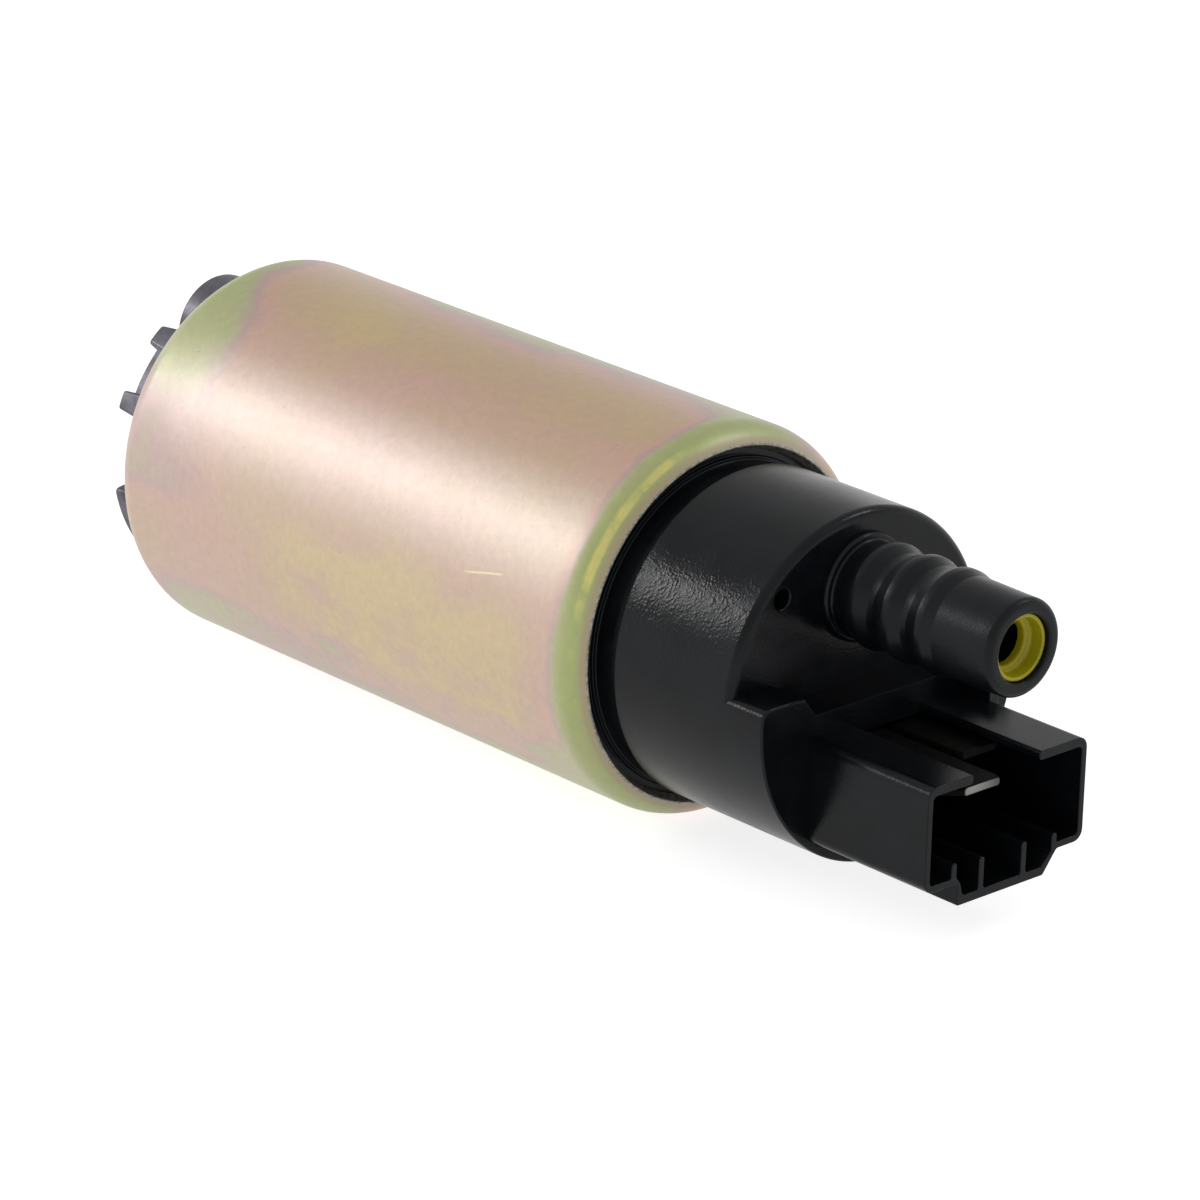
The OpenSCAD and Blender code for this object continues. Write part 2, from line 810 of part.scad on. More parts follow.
// Solid of one terminal, grown by gap for the place that it takes up in the cap
module terminal_body(side, length_cut, gap) {
    x0 = blade_gap / 2;
    x1 = x0 + blade_w;
    z1 = blade_z1 - length_cut;
    y0 = blade_y - blade_t / 2 - gap;
    foot_x1 = brush_x + foot_d / 2;
    mirror([side < 0 ? 1 : 0, 0, 0]) {
        translate([0, y0 + blade_t + 2 * gap, 0]) rotate([90, 0, 0]) linear_extrude(blade_t + 2 * gap)
            polygon([[x0 - gap, foot_z0 - gap], [x1 + gap, foot_z0 - gap], [x1 + gap, z1 - blade_tip],
                [x1 - blade_tip, z1 + gap], [x0 + blade_tip, z1 + gap], [x0 - gap, z1 - blade_tip]]);
        translate([x1 - blade_w / 2 - gap, y0, foot_z0 - gap])
            cube([foot_x1 - x1 + blade_w / 2 + 2 * gap, -y0 + foot_d / 2 + gap, foot_t + 2 * gap]);
    }
}

module terminal(side, length_cut) {
    color("#b9b6ac") lay() difference() {
        terminal_body(side, length_cut, 0);
        translate([side * brush_x, 0, 0]) rod(lead_hole_r, foot_z0 - cut, foot_z0 + foot_t + cut);
    }
}

module terminal_left() {
    terminal(-1, 0);
}

module terminal_right() {
    terminal(1, blade_stagger);
}

// Ferrite core of the interference choke on one side
module choke_core(side) {
    color("#4a4b50") lay() translate([side * choke_x, choke_y, 0])
        rod(choke_core_r, cap_z0 + fit_gap, cap_z0 + choke_well_h - fit_gap);
}

module choke_coil(side) {
    r = choke_core_r + fit_gap;
    color("#b4713f") lay() translate([side * choke_x, choke_y, 0])
        tube(r, r + choke_coil_wall, cap_z0 + choke_end, cap_z0 + choke_well_h - choke_end);
}

module choke_core_left() {
    choke_core(-1);
}

module choke_core_right() {
    choke_core(1);
}

module choke_coil_left() {
    choke_coil(-1);
}

module choke_coil_right() {
    choke_coil(1);
}

// Moulded end cap with the nipple, the stepped face and the electrical socket
module outlet_end_cap() {
    color("#1d1e21") lay() difference() {
        union() {
            rotate_extrude() cap_section();
            intersection() {
                rotate_extrude() bar_section(cap_r, neck_z1, step_z, neck_edge, step_rim_share * cap_rim_r);
                translate([0, 0, neck_z1 - root]) linear_extrude(cap_reach + can_len) step_outline();
            }
            translate([0, 0, socket_z0]) linear_extrude(mouth_z - socket_z0) socket_outline();
            side_lug();
            translate([0, nipple_y, 0]) rotate_extrude() nipple_section();
        }
        translate([0, 0, socket_z0]) linear_extrude(mouth_z - socket_z0 + cut) socket_cavity();
        socket_notch();
        translate([0, nipple_y, 0]) {
            rod(passage_r, cap_z0 - cut, nipple_z1);
            rod(nipple_r, seat_z, nipple_z1 + cut);
        }
        translate([vent_x, vent_y, 0]) {
            rod(vent_d / 2, cap_z0 - cut, face_z + cut);
            rod(relief_well_r, cap_z0 - cut, relief_well_z1);
            rod(relief_seat_r + fit_gap, cap_z0 - cut, cap_z0 + relief_seat_t + fit_gap);
        }
        for (side = [-1, 1]) {
            translate([side * brush_x, 0, 0]) {
                rod(brush_r + 2 * slide_gap, cap_z0 - cut, foot_z0 + foot_t / 2);
                rod(lead_hole_r, cap_z0, foot_z0 + foot_t + lead_pocket);
            }
            translate([side * choke_x, choke_y, 0]) rod(choke_well_r, cap_z0 - cut, cap_z0 + choke_well_h);
        }
        terminal_body(-1, 0, fit_gap);
        terminal_body(1, blade_stagger, fit_gap);
    }
}

// The cap's round body: the flange in the can, the shoulder under the roll and the upper face
module cap_section() {
    roll = outlet_roll_r - can_wall - fit_gap;
    shoulder_z = outlet_roll_c + roll * sin(outlet_roll_deg);
    difference() {
        union() {
            square_between(0, seat_r, cap_z0, outlet_roll_c);
            intersection() {
                union() {
                    square_between(0, outlet_roll_x, cap_z0, outlet_roll_c + roll);
                    translate([outlet_roll_x, outlet_roll_c]) circle(r = roll);
                }
                square_between(0, seat_r, cap_z0, shoulder_z);
            }
        }
        square_between(seal_mid_r - seal_r - fit_gap, can_r, seal_z - groove_w / 2, seal_z + groove_w / 2);
    }
    square_between(0, neck_r, outlet_roll_c - 2 * root, neck_z1 + root);
    bar_section(cap_r, neck_z1, face_z, neck_edge, cap_rim_r);
}

// Everything below the step's top line: low over the socket and higher at both ends
module step_outline() {
    half = step_mid_w / 2;
    polygon([[-can_r, -can_r], [can_r, -can_r], [can_r, step_end_y], [half + step_ramp, step_end_y],
        [half, step_mid_y], [-half, step_mid_y], [-half - step_ramp, step_end_y], [-can_r, step_end_y]]);
}

// Outer outline of the socket with its keying tray
module socket_outline() {
    half = socket_w / 2;
    round_rect(-half, half, floor_y, rail_y, socket_corner_r);
    polygon([[tray_left, floor_y + root], [tray_left, tray_y], [tray_right, tray_y],
        [tray_right + tray_slant, floor_y], [tray_right + tray_slant, floor_y + root]]);
}

// Inside of the socket with its ribs left standing and the notch between the rails
module socket_cavity() {
    half = socket_w / 2 - socket_wall;
    low = floor_y + socket_wall;
    tray_low = tray_y + tray_floor_t;
    difference() {
        union() {
            round_rect(-half, half, low, rail_y - rail_t, socket_corner_r - socket_wall);
            polygon([[tray_left + socket_wall, low + root], [tray_left + socket_wall, tray_low],
                [tray_right - tray_inset, tray_low], [tray_right + tray_slant - socket_wall, floor_y],
                [tray_right + tray_slant - socket_wall, low + root]]);
        }
        for (i = [0 : len(rib_xs) - 1]) {
            square_between(rib_xs[i] - rib_t / 2, rib_xs[i] + rib_t / 2, tray_y,
                low + rib_heights[i]);
        }
    }
}

// Opening between the two rails, from the step to the mouth
module socket_notch() {
    translate([0, 0, step_z]) linear_extrude(socket_len + cut)
        square_between(notch_left, notch_right, rail_y - rail_t - cut, rail_y + cut);
}

// Upright edge on the socket's right wall, next to the step
module side_lug() {
    translate([socket_w / 2 - side_lug_t, rail_y - rail_t, step_z - root])
        cube([side_lug_t, step_mid_y - rail_y + rail_t, side_lug_len + root]);
}

// Half section of the nipple about its own axis: boss, barbs, nose and rounded tip
module nipple_section() {
    boss_r = boss_d / 2;
    nose_r = nose_d / 2;
    tip_z = nipple_z1 - nose_edge;
    polygon(concat(
        [[0, face_z - root], [boss_r, face_z - root], [boss_r, boss_z1 - boss_edge],
            [boss_r - boss_edge, boss_z1], [barb_root_d / 2, boss_z1]],
        barb_points(),
        [[nose_r, barb_z1]],
        [for (a = [0 : 22.5 : 90])
            [nose_r - nose_edge + nose_edge * cos(a), tip_z + nose_edge * sin(a)]],
        [[0, nipple_z1]]));
}

// Points along the barbs: a short steep rise and a long fall towards the tip
function barb_points() = [
    for (i = [0 : barb_count - 1], k = [0 : barb_steps - 1])
        let (t = k / barb_steps, last = i == barb_count - 1 && t > barb_rise_share)
            [barb_radius(t, last ? nose_d / 2 : barb_root_d / 2), barb_z0 + (i + t) * barb_pitch]
];

function barb_radius(t, low_r) =
    let (rise = t < barb_rise_share ? t / barb_rise_share : 1 - (t - barb_rise_share) / (1 - barb_rise_share))
    low_r + (barb_d / 2 - low_r) * (1 - cos(180 * rise)) / 2;

// Sealing ring in the groove of the cap's flange
module cap_seal_ring() {
    color("#3a2f2a") lay() rotate_extrude() translate([seal_mid_r, seal_z]) circle(r = seal_r, $fn = 32);
}

// Check valve: head, stem, spring and the retainer seen in the nipple's tip
module check_valve_poppet() {
    z0 = seat_z + fit_gap;
    z1 = z0 + poppet_t;
    r = poppet_d / 2;
    color("#5c4a30") lay() translate([0, nipple_y, 0]) rotate_extrude()
        polygon([[0, z0], [r - poppet_edge, z0], [r, z0 + poppet_edge], [r, z1 - poppet_edge],
            [r - poppet_edge, z1], [stem_r, z1], [stem_r, stem_z1 - stem_edge],
            [stem_r - stem_edge, stem_z1], [0, stem_z1]]);
}

module check_valve_spring() {
    z0 = seat_z + fit_gap + poppet_t;
    r = stem_r + check_spring_gap;
    color("#b9bcc0") lay() translate([0, nipple_y, 0])
        tube(r, r + spring_wall, z0, guide_z0 - fit_gap);
}

module valve_retainer() {
    floor_z1 = retainer_z1 - retainer_cup;
    floor_z0 = floor_z1 - retainer_floor_t;
    guide_r = stem_r + slide_gap;
    leg_r1 = retainer_r - guide_arm_root;
    color("#a8a010") lay() translate([0, nipple_y, 0]) {
        rotate_extrude() polygon([[retainer_hole_d / 2, floor_z0], [retainer_r, floor_z0],
            [retainer_r, retainer_z1], [retainer_r - retainer_lip, retainer_z1],
            [retainer_r - retainer_lip, floor_z1], [retainer_hole_d / 2, floor_z1]]);
        tube(guide_r, guide_r + guide_wall, guide_z0, guide_z0 + guide_t);
        for (i = [0 : 2]) {
            rotate([0, 0, 120 * i + 90]) {
                translate([guide_r + guide_arm_root, -guide_arm_t / 2, guide_z0])
                    cube([leg_r1 - guide_r - guide_arm_root, guide_arm_t, guide_t]);
                translate([retainer_leg_r, -guide_arm_t / 2, guide_z0])
                    cube([leg_r1 - retainer_leg_r, guide_arm_t, floor_z0 - guide_z0 + cut]);
            }
        }
    }
}

// Relief valve behind the vent: pressed seat, ball and spring
module relief_seat() {
    color("#b08d3a") lay() translate([vent_x, vent_y, 0])
        tube(relief_hole_r, relief_seat_r, cap_z0, cap_z0 + relief_seat_t);
}

module relief_ball() {
    color("#d5d7da") lay() translate([vent_x, vent_y, relief_ball_z]) sphere(r = relief_ball_r);
}

module relief_spring() {
    r_in = relief_spring_r - relief_spring_wall;
    z0 = relief_ball_z + sqrt(pow(relief_ball_r, 2) - pow(r_in, 2)) + fit_gap;
    color("#b9bcc0") lay() translate([vent_x, vent_y, 0])
        tube(r_in, relief_spring_r, z0, relief_well_z1 - fit_gap);
}

steel_can();
inlet_cover();
thrust_pad();
pump_casing();
lower_bush();
impeller();
armature_shaft();
armature_core();
armature_winding();
commutator();
magnet_left();
magnet_right();
magnet_clip_top();
magnet_clip_bottom();
brush_holder();
upper_bush();
brush_left();
brush_right();
brush_lead_left();
brush_lead_right();
brush_spring_left();
brush_spring_right();
terminal_left();
terminal_right();
choke_core_left();
choke_core_right();
choke_coil_left();
choke_coil_right();
outlet_end_cap();
cap_seal_ring();
check_valve_poppet();
check_valve_spring();
valve_retainer();
relief_seat();
relief_ball();
relief_spring();
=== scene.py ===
"""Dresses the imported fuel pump: detailed outer pieces, wound springs and finishes for every solid."""
import logging
import math
from dataclasses import dataclass
from enum import Enum
from typing import Any, Callable, Iterable, Sequence

import bmesh
import bpy
from mathutils import Matrix, Vector


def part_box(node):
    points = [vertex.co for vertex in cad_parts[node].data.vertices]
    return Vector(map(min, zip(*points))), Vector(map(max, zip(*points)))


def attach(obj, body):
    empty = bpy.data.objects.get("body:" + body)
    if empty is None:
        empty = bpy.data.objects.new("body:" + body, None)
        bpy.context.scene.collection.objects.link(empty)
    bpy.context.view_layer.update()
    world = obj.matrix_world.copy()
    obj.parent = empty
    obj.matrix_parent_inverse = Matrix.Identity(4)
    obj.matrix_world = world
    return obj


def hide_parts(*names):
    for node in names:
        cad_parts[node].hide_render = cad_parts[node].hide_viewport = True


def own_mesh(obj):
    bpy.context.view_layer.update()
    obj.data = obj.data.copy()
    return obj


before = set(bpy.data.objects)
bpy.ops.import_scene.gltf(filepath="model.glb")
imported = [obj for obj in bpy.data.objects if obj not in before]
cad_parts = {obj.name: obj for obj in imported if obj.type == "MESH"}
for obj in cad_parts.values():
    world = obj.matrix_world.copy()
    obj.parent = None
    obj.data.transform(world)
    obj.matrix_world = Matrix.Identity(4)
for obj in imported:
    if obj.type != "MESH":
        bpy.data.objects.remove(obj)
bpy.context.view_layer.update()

log = logging.getLogger("fuel_pump")

MM = 0.001
# How far the can's inlet end lies behind the origin, and the pump's axis above the floor, in millimetres.
INLET = 49.0
AXIS_UP = 19.0
# The pump is drawn upright in millimetres, z from the can's inlet end, and then laid down along +X.
LAY = Matrix(((0, 0, MM, -INLET * MM), (MM, 0, 0, 0), (0, MM, 0, AXIS_UP * MM), (0, 0, 0, 1)))
# Places in the upright pump that more than one piece keeps to.
NIPPLE_Y = 8.9
BRUSH_X = 6.6
CHOKE_X, CHOKE_Y = 10.3, -8.3
BLADE_TIPS = {"left": 103.6, "right": 97.6}
# Two points that are closer than this, in millimetres, are one.
WELD = 1e-4
# Edges that turn by more than this stay sharp in the shading.
SHARP_FROM = math.radians(42)
Edge = bmesh.types.BMEdge
Material = bpy.types.Material
Object = bpy.types.Object
Pair = tuple[float, float]
Triple = tuple[float, float, float]
# A point of an outline, and a corner with its rounding radius.
Point = Pair
Corner = Triple


def paint(text: str) -> tuple[float, float, float, float]:
    """Turns a colour written as RRGGBB into linear light.

    Args:
        text: Six hexadecimal digits, as the colour looks on a screen.

    Returns:
        Red, green, blue and an alpha of 1.
    """
    parts = [int(text[i:i + 2], 16) / 255 for i in (0, 2, 4)]
    lin = [p / 12.92 if p <= 0.04045 else ((p + 0.055) / 1.055) ** 2.4 for p in parts]
    return (*lin, 1.0)


class Plane(Enum):
    """The plane that a wire is drawn in, with the axis that its turns go about."""

    SECTION = (0, -1, 0)
    OUTLINE = (0, 0, 1)

    def point(self, u: float, w: float, level: float = 0.0) -> Vector:
        """Returns the place of the drawn point u, w in the upright pump."""
        return Vector((u, level, w)) if self is Plane.SECTION else Vector((u, w, level))


class Shape:
    """A mesh under construction, in millimetres about the upright pump's axis."""

    def __init__(self) -> None:
        """Starts an empty mesh."""
        self.bm = bmesh.new()

    def wire(self, plane: Plane, corners: Sequence[Corner], closed: bool = True, level: float = 0.0,
             detail: int = 6) -> list[Edge]:
        """Draws a wire through rounded corners.

        Args:
            plane: Plane of the drawing.
            corners: Two coordinates and the rounding radius of each corner.
            closed: Whether the last corner joins the first one.
            level: Place of the plane along its own axis.
            detail: Number of steps in a quarter turn of rounding.

        Returns:
            The wire's edges in order.
        """
        bm, count, edges = self.bm, len(corners), []
        spots = [Vector(c[:2]) for c in corners]
        tip = first = None
        for i, (u, w, r) in enumerate(corners):
            here = spots[i]
            turn, centre = 0.0, here
            if r > 0:
                a = (spots[i - 1] - here).normalized()
                b = (spots[(i + 1) % count] - here).normalized()
                half = a.angle(b) / 2
                centre = here + (a + b).normalized() * (r / math.sin(half))
                here = here + a * (r / math.tan(half))
                turn = math.copysign(math.pi - 2 * half, (-a).cross(b))
            spot = plane.point(here.x, here.y, level)
            if tip is None:
                tip = first = bm.verts.new(spot)
            elif (tip.co - spot).length > 1e-5:
                made = bmesh.ops.extrude_vert_indiv(bm, verts=[tip])
                tip = made["verts"][0]
                tip.co = spot
                edges += made["edges"]
            if turn:
                steps = max(2, round(abs(turn) / (math.pi / 2) * detail))
                bmesh.ops.spin(bm, geom=[tip], cent=plane.point(centre.x, centre.y, level),
                               axis=plane.value, angle=turn, steps=steps, use_merge=False)
                for _ in range(steps):
                    edges.append(next(e for e in tip.link_edges if e not in edges))
                    tip = edges[-1].other_vert(tip)
        if closed:
            edges += bmesh.ops.contextual_create(bm, geom=[tip, first])["edges"]
        return edges

    def spin(self, edges: Iterable[Edge], about: Point = (0, 0), sweep: float = 360,
             start: float = 0, steps: int = 96, rise: float = 0) -> None:
        """Turns a wire about an upright axis, all the way round or over an arc with closed ends.

        Args:
            edges: The wire, drawn about the origin.
            about: Place of the axis.
            sweep: Angle of the turn in degrees.
            start: Angle at which the turn starts.
            steps: Steps of the turn.
            rise: Height that the turn gains, as a screw does.
        """
        bm, edges = self.bm, list(edges)
        verts = list(dict.fromkeys(v for e in edges for v in e.verts))
        turn = Matrix.Rotation(math.radians(start), 3, "Z")
        bmesh.ops.rotate(bm, verts=verts, cent=(0, 0, 0), matrix=turn)
        bmesh.ops.translate(bm, verts=verts, vec=(*about, 0))
        full = sweep == 360 and not rise
        made = bmesh.ops.spin(bm, geom=verts + edges, cent=(*about, 0), axis=(0, 0, 1), steps=steps,
                              angle=math.radians(sweep), use_merge=full, dvec=(0, 0, rise / steps))
        if not full:
            last = [g for g in made["geom_last"] if isinstance(g, Edge)]
            for end in (edges, last):
                bmesh.ops.contextual_create(bm, geom=end)

    def lathe(self, corners: Sequence[Corner], closed: bool = True, detail: int = 6, **turn: Any) -> None:
        """Draws a half section and turns it, with the settings of spin."""
        turned = Shape()
        turned.spin(turned.wire(Plane.SECTION, corners, closed, detail=detail), **turn)
        self.take(turned)

    def fill(self, edges: Iterable[Edge], normal: Sequence[float]) -> None:
        """Fills the flat area between closed loops of edges."""
        made = bmesh.ops.triangle_fill(self.bm, edges=list(edges), use_beauty=True, normal=normal)["geom"]
        faces = dict.fromkeys(g for g in made if isinstance(g, bmesh.types.BMFace))
        inner = dict.fromkeys(e for f in faces for e in f.edges if all(g in faces for g in e.link_faces))
        bmesh.ops.dissolve_limit(self.bm, angle_limit=0.001, verts=[], edges=list(inner))

    def fill_level(self, level: float) -> None:
        """Fills the open loops that lie at one height."""
        bmesh.ops.remove_doubles(self.bm, verts=self.bm.verts, dist=WELD)
        loops = [e for e in self.bm.edges
                 if len(e.link_faces) < 2 and all(abs(v.co.z - level) < 1e-3 for v in e.verts)]
        self.fill(loops, (0, 0, 1))

    def push(self, edges: Iterable[Edge], vec: Sequence[float]) -> list[Edge]:
        """Pushes a wire out into walls and returns the edges at their far end."""
        made = bmesh.ops.extrude_edge_only(self.bm, edges=list(edges))["geom"]
        bmesh.ops.translate(self.bm, verts=[g for g in made if isinstance(g, bmesh.types.BMVert)], vec=vec)
        return [g for g in made if isinstance(g, Edge) and len(g.link_faces) == 1]

    def plate(self, plane: Plane, loops: Sequence[Sequence[Corner]], low: float, high: float,
              detail: int = 6) -> None:
        """Makes a flat plate from an outline and the outlines of its holes.

        Args:
            plane: Plane of the outlines.
            loops: The outline and then the holes.
            low: Place of one face along the plane's axis.
            high: Place of the other face.
            detail: Steps in a quarter turn of rounding.
        """
        near: list[Edge] = []
        far: list[Edge] = []
        way = plane.point(0, 0, high - low)
        for loop in loops:
            edges = self.wire(plane, loop, level=low, detail=detail)
            near += edges
            far += self.push(edges, way)
        self.fill(near, way)
        self.fill(far, way)

    def soften(self, offset: float, where: Callable[[Vector], bool] = lambda middle: True, segments: int = 3,
               sharper: float = 35) -> None:
        """Rounds the sharp edges whose middle passes a test.

        Args:
            offset: Width of the rounding.
            where: Test on the middle of an edge.
            segments: Steps of the rounding.
            sharper: Smallest angle in degrees between an edge's faces.
        """
        bmesh.ops.recalc_face_normals(self.bm, faces=self.bm.faces)
        edges = [e for e in self.bm.edges if len(e.link_faces) == 2
                 and e.calc_face_angle() > math.radians(sharper)
                 and where((e.verts[0].co + e.verts[1].co) / 2)]
        bmesh.ops.bevel(self.bm, geom=edges, offset=offset, offset_type="OFFSET", segments=segments,
                        profile=0.5, affect="EDGES", material=-1, clamp_overlap=True)

    def take(self, other: "Shape") -> None:
        """Adds another finished shape to this one."""
        spare = bpy.data.meshes.new("spare")
        other.bm.to_mesh(spare)
        other.bm.free()
        self.bm.from_mesh(spare)
        bpy.data.meshes.remove(spare)

    def piece(self, name: str, finish: Material, slot: str, stands_for: Sequence[str],
              body: str = "housing") -> Object:
        """Closes the mesh, lays it down and hands it to its body.

        Args:
            name: Name of the new piece.
            finish: Its material.
            slot: The record's material slot; not used.
            stands_for: CAD nodes that it stands for.
            body: Body that it rides on.

        Returns:
            The piece's object.
        """
        bm = self.bm
        bmesh.ops.remove_doubles(bm, verts=bm.verts, dist=WELD)
        bmesh.ops.recalc_face_normals(bm, faces=bm.faces)
        open_edges = sum(not e.is_manifold for e in bm.edges)
        bmesh.ops.transform(bm, matrix=LAY, verts=bm.verts)
        mesh = bpy.data.meshes.new(name)
        bm.to_mesh(mesh)
        bm.free()
        mesh.shade_smooth()
        mesh.set_sharp_from_angle(angle=SHARP_FROM)
        mesh.materials.append(finish)
        made = bpy.data.objects.new(name, mesh)
        bpy.context.scene.collection.objects.link(made)
        even = made.modifiers.new("even_normals", "WEIGHTED_NORMAL")
        even.keep_sharp = True
        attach(made, body)
        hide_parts(*stands_for)
        log.info("%s: %d faces, %d open edges", name, len(mesh.polygons), open_edges)
        return made


def maths(kind: str, swap: bool = False) -> Callable[["Wave", Any], "Wave"]:
    """Makes a method of Wave that stands for one operation of the Math node.

    Args:
        kind: The operation.
        swap: Whether the wave comes second.

    Returns:
        The method, which takes a wave or a number.
    """
    def method(self: "Wave", other: Any) -> "Wave":
        """Returns the result of the operation."""
        values = (other, self) if swap else (self, other)
        return self.maker.add("ShaderNodeMath", {"operation": kind}, dict(enumerate(values)))
    return method


class Wave:
    """One socket of a shader, so that shader maths reads as an expression."""

    def __init__(self, maker: "Recipe", socket: bpy.types.NodeSocket) -> None:
        """Keeps the socket and the recipe that it belongs to."""
        self.maker = maker
        self.socket = socket

    __add__ = __radd__ = maths("ADD")
    __sub__ = maths("SUBTRACT")
    __rsub__ = maths("SUBTRACT", swap=True)
    __mul__ = maths("MULTIPLY")
    __truediv__ = maths("DIVIDE")
    __pow__ = maths("POWER")
    most = maths("MAXIMUM")

    def between(self, low: float, high: float) -> "Wave":
        """Returns a smooth step from 0 at low to 1 at high; low may be the larger one."""
        values = {"Value": self, "From Min": low, "From Max": high}
        settings = {"interpolation_type": "SMOOTHSTEP", "clamp": True}
        return self.maker.add("ShaderNodeMapRange", settings, values)


class Recipe:
    """A node material that is put together from the object's own coordinates in millimetres."""

    def __init__(self, name: str, tree: bpy.types.NodeTree | None = None) -> None:
        """Starts a material with its surface shader, or goes on with a tree that is there."""
        if tree:
            self.tree = tree
            return
        self.material = bpy.data.materials.new(name)
        self.material.use_nodes = True
        self.tree = self.material.node_tree
        self.tree.nodes.clear()
        self.surface = self.tree.nodes.new("ShaderNodeBsdfPrincipled")
        out = self.tree.nodes.new("ShaderNodeOutputMaterial")
        self.tree.links.new(self.surface.outputs[0], out.inputs[0])
        self.place = self.add("ShaderNodeTexCoord", {}, {}, "Object")
        self.x, self.y, height = (part * (1 / MM) for part in self.split(self.place))
        self.along = self.x + INLET
        self.up = height - AXIS_UP

    def add(self, kind: str, settings: dict[str, Any], values: dict[Any, Any], out: Any = 0) -> Wave:
        """Adds one node.

        Args:
            kind: Type of the node.
            settings: Its own settings; "stops" are a ramp's places and colours.
            values: A number, colour or wave for each of its sockets.
            out: Name or number of the output that is wanted.

        Returns:
            That output.
        """
        node = self.tree.nodes.new(kind)
        for key, value in settings.items():
            if key == "stops":
                while len(node.color_ramp.elements) < len(value):
                    node.color_ramp.elements.new(1)
                for element, (at, colour) in zip(node.color_ramp.elements, value):
                    element.position, element.color = at, colour
            else:
                setattr(node, key, value)
        for key, value in values.items():
            self.join(node.inputs[key], value)
        return Wave(self, node.outputs[out])

    def join(self, socket: bpy.types.NodeSocket, value: Any) -> None:
        """Gives a socket its wave, number or colour."""
        if isinstance(value, Wave):
            self.tree.links.new(value.socket, socket)
        else:
            socket.default_value = value

    def split(self, vector: Wave) -> tuple[Wave, Wave, Wave]:
        """Returns the three coordinates of a vector."""
        parts = self.add("ShaderNodeSeparateXYZ", {}, {0: vector}).socket.node
        return tuple(Wave(self, out) for out in parts.outputs)

    def noise(self, size: float, detail: float = 3, rough: float = 0.5,
              stretch: Sequence[float] = (1, 1, 1)) -> Wave:
        """Returns a cloudy noise.

        Args:
            size: Size of its patches in millimetres.
            detail: How many finer layers it has.
            rough: Strength of the finer layers.
            stretch: How much longer the patches are along each axis.
        """
        place = self.place
        if tuple(stretch) != (1, 1, 1):
            scale = tuple(1 / s for s in stretch)
            place = self.add("ShaderNodeMapping", {}, {"Vector": place, "Scale": scale})
        values = {"Vector": place, "Scale": 1 / (size * MM), "Detail": detail, "Roughness": rough}
        return self.add("ShaderNodeTexNoise", {}, values)

    def cells(self, size: float) -> Wave:
        """Returns the distance to the nearest of scattered points, 1 where it is a size in millimetres."""
        values = {"Vector": self.place, "Scale": 1 / (size * MM)}
        return self.add("ShaderNodeTexVoronoi", {"feature": "F1"}, values)

    def side(self, degrees: float) -> Wave:
        """Returns the cosine of the angle between a point and a direction about the pump's axis."""
        turn = math.radians(degrees)
        return (self.y * math.cos(turn) + self.up * math.sin(turn)) / self.reach()

    def facing(self, degrees: float, start: float, full: float, ragged: Any = 0.0) -> Wave:
        """Returns how far a point belongs to the side of the pump that faces a direction.

        Args:
            degrees: Direction about the pump's axis.
            start: Cosine from that direction at which the side starts.
            full: Cosine at which it is full.
            ragged: Unevenness that is added to the cosine.
        """
        return (self.side(degrees) + ragged).between(start, full)

    def reach(self) -> Wave:
        """Returns the distance from the pump's axis in millimetres."""
        return (self.y * self.y + self.up * self.up) ** 0.5

    def ramp(self, value: Wave, stops: Sequence[tuple[float, str]]) -> Wave:
        """Turns a value into a colour between written stops."""
        painted = [(at, paint(text)) for at, text in stops]
        return self.add("ShaderNodeValToRGB", {"stops": painted}, {0: value})

    def mix(self, factor: Any, low: Any, high: Any) -> Wave:
        """Blends two colours, each a wave or written as RRGGBB."""
        low, high = (paint(c) if isinstance(c, str) else c for c in (low, high))
        return self.add("ShaderNodeMix", {"data_type": "RGBA"}, {0: factor, 6: low, 7: high}, 2)

    def bump(self, height: Wave, depth: float, strength: float = 1.0) -> Wave:
        """Returns the normal of a surface whose height varies by a depth in millimetres."""
        values = {"Height": height, "Distance": depth * MM, "Strength": strength}
        return self.add("ShaderNodeBump", {}, values)

    def dress(self, **sockets: Any) -> Material:
        """Sets the surface shader's sockets, written with _ for a space, and returns the material."""
        for key, value in sockets.items():
            self.join(self.surface.inputs[key.replace("_", " ")], value)
        return self.material


@dataclass(frozen=True)
class Area:
    """An area of the can where the plating's film is thicker or thinner than elsewhere.

    It faces a direction in degrees, with the cosines at which it starts and is full, and fades along the can.
    """

    faces: Triple
    fades: tuple[Pair, ...]
    gain: float
    ragged: float = 0.0
    blotched: bool = False

    def change(self, r: Recipe, drift: Wave, wobble: Wave, blotch: Wave) -> Wave:
        """Returns what the area adds to the film's thickness.

        Args:
            r: The can's recipe.
            drift: The large clouds, about 0.
            wobble: Distance from the inlet end, made uneven by the clouds.
            blotch: Small blotches that break up some of the areas.
        """
        share = r.facing(*self.faces, drift * self.ragged)
        for fade in self.fades:
            share = share * wobble.between(*fade)
        if self.blotched:
            share = share * blotch
        return share * self.gain


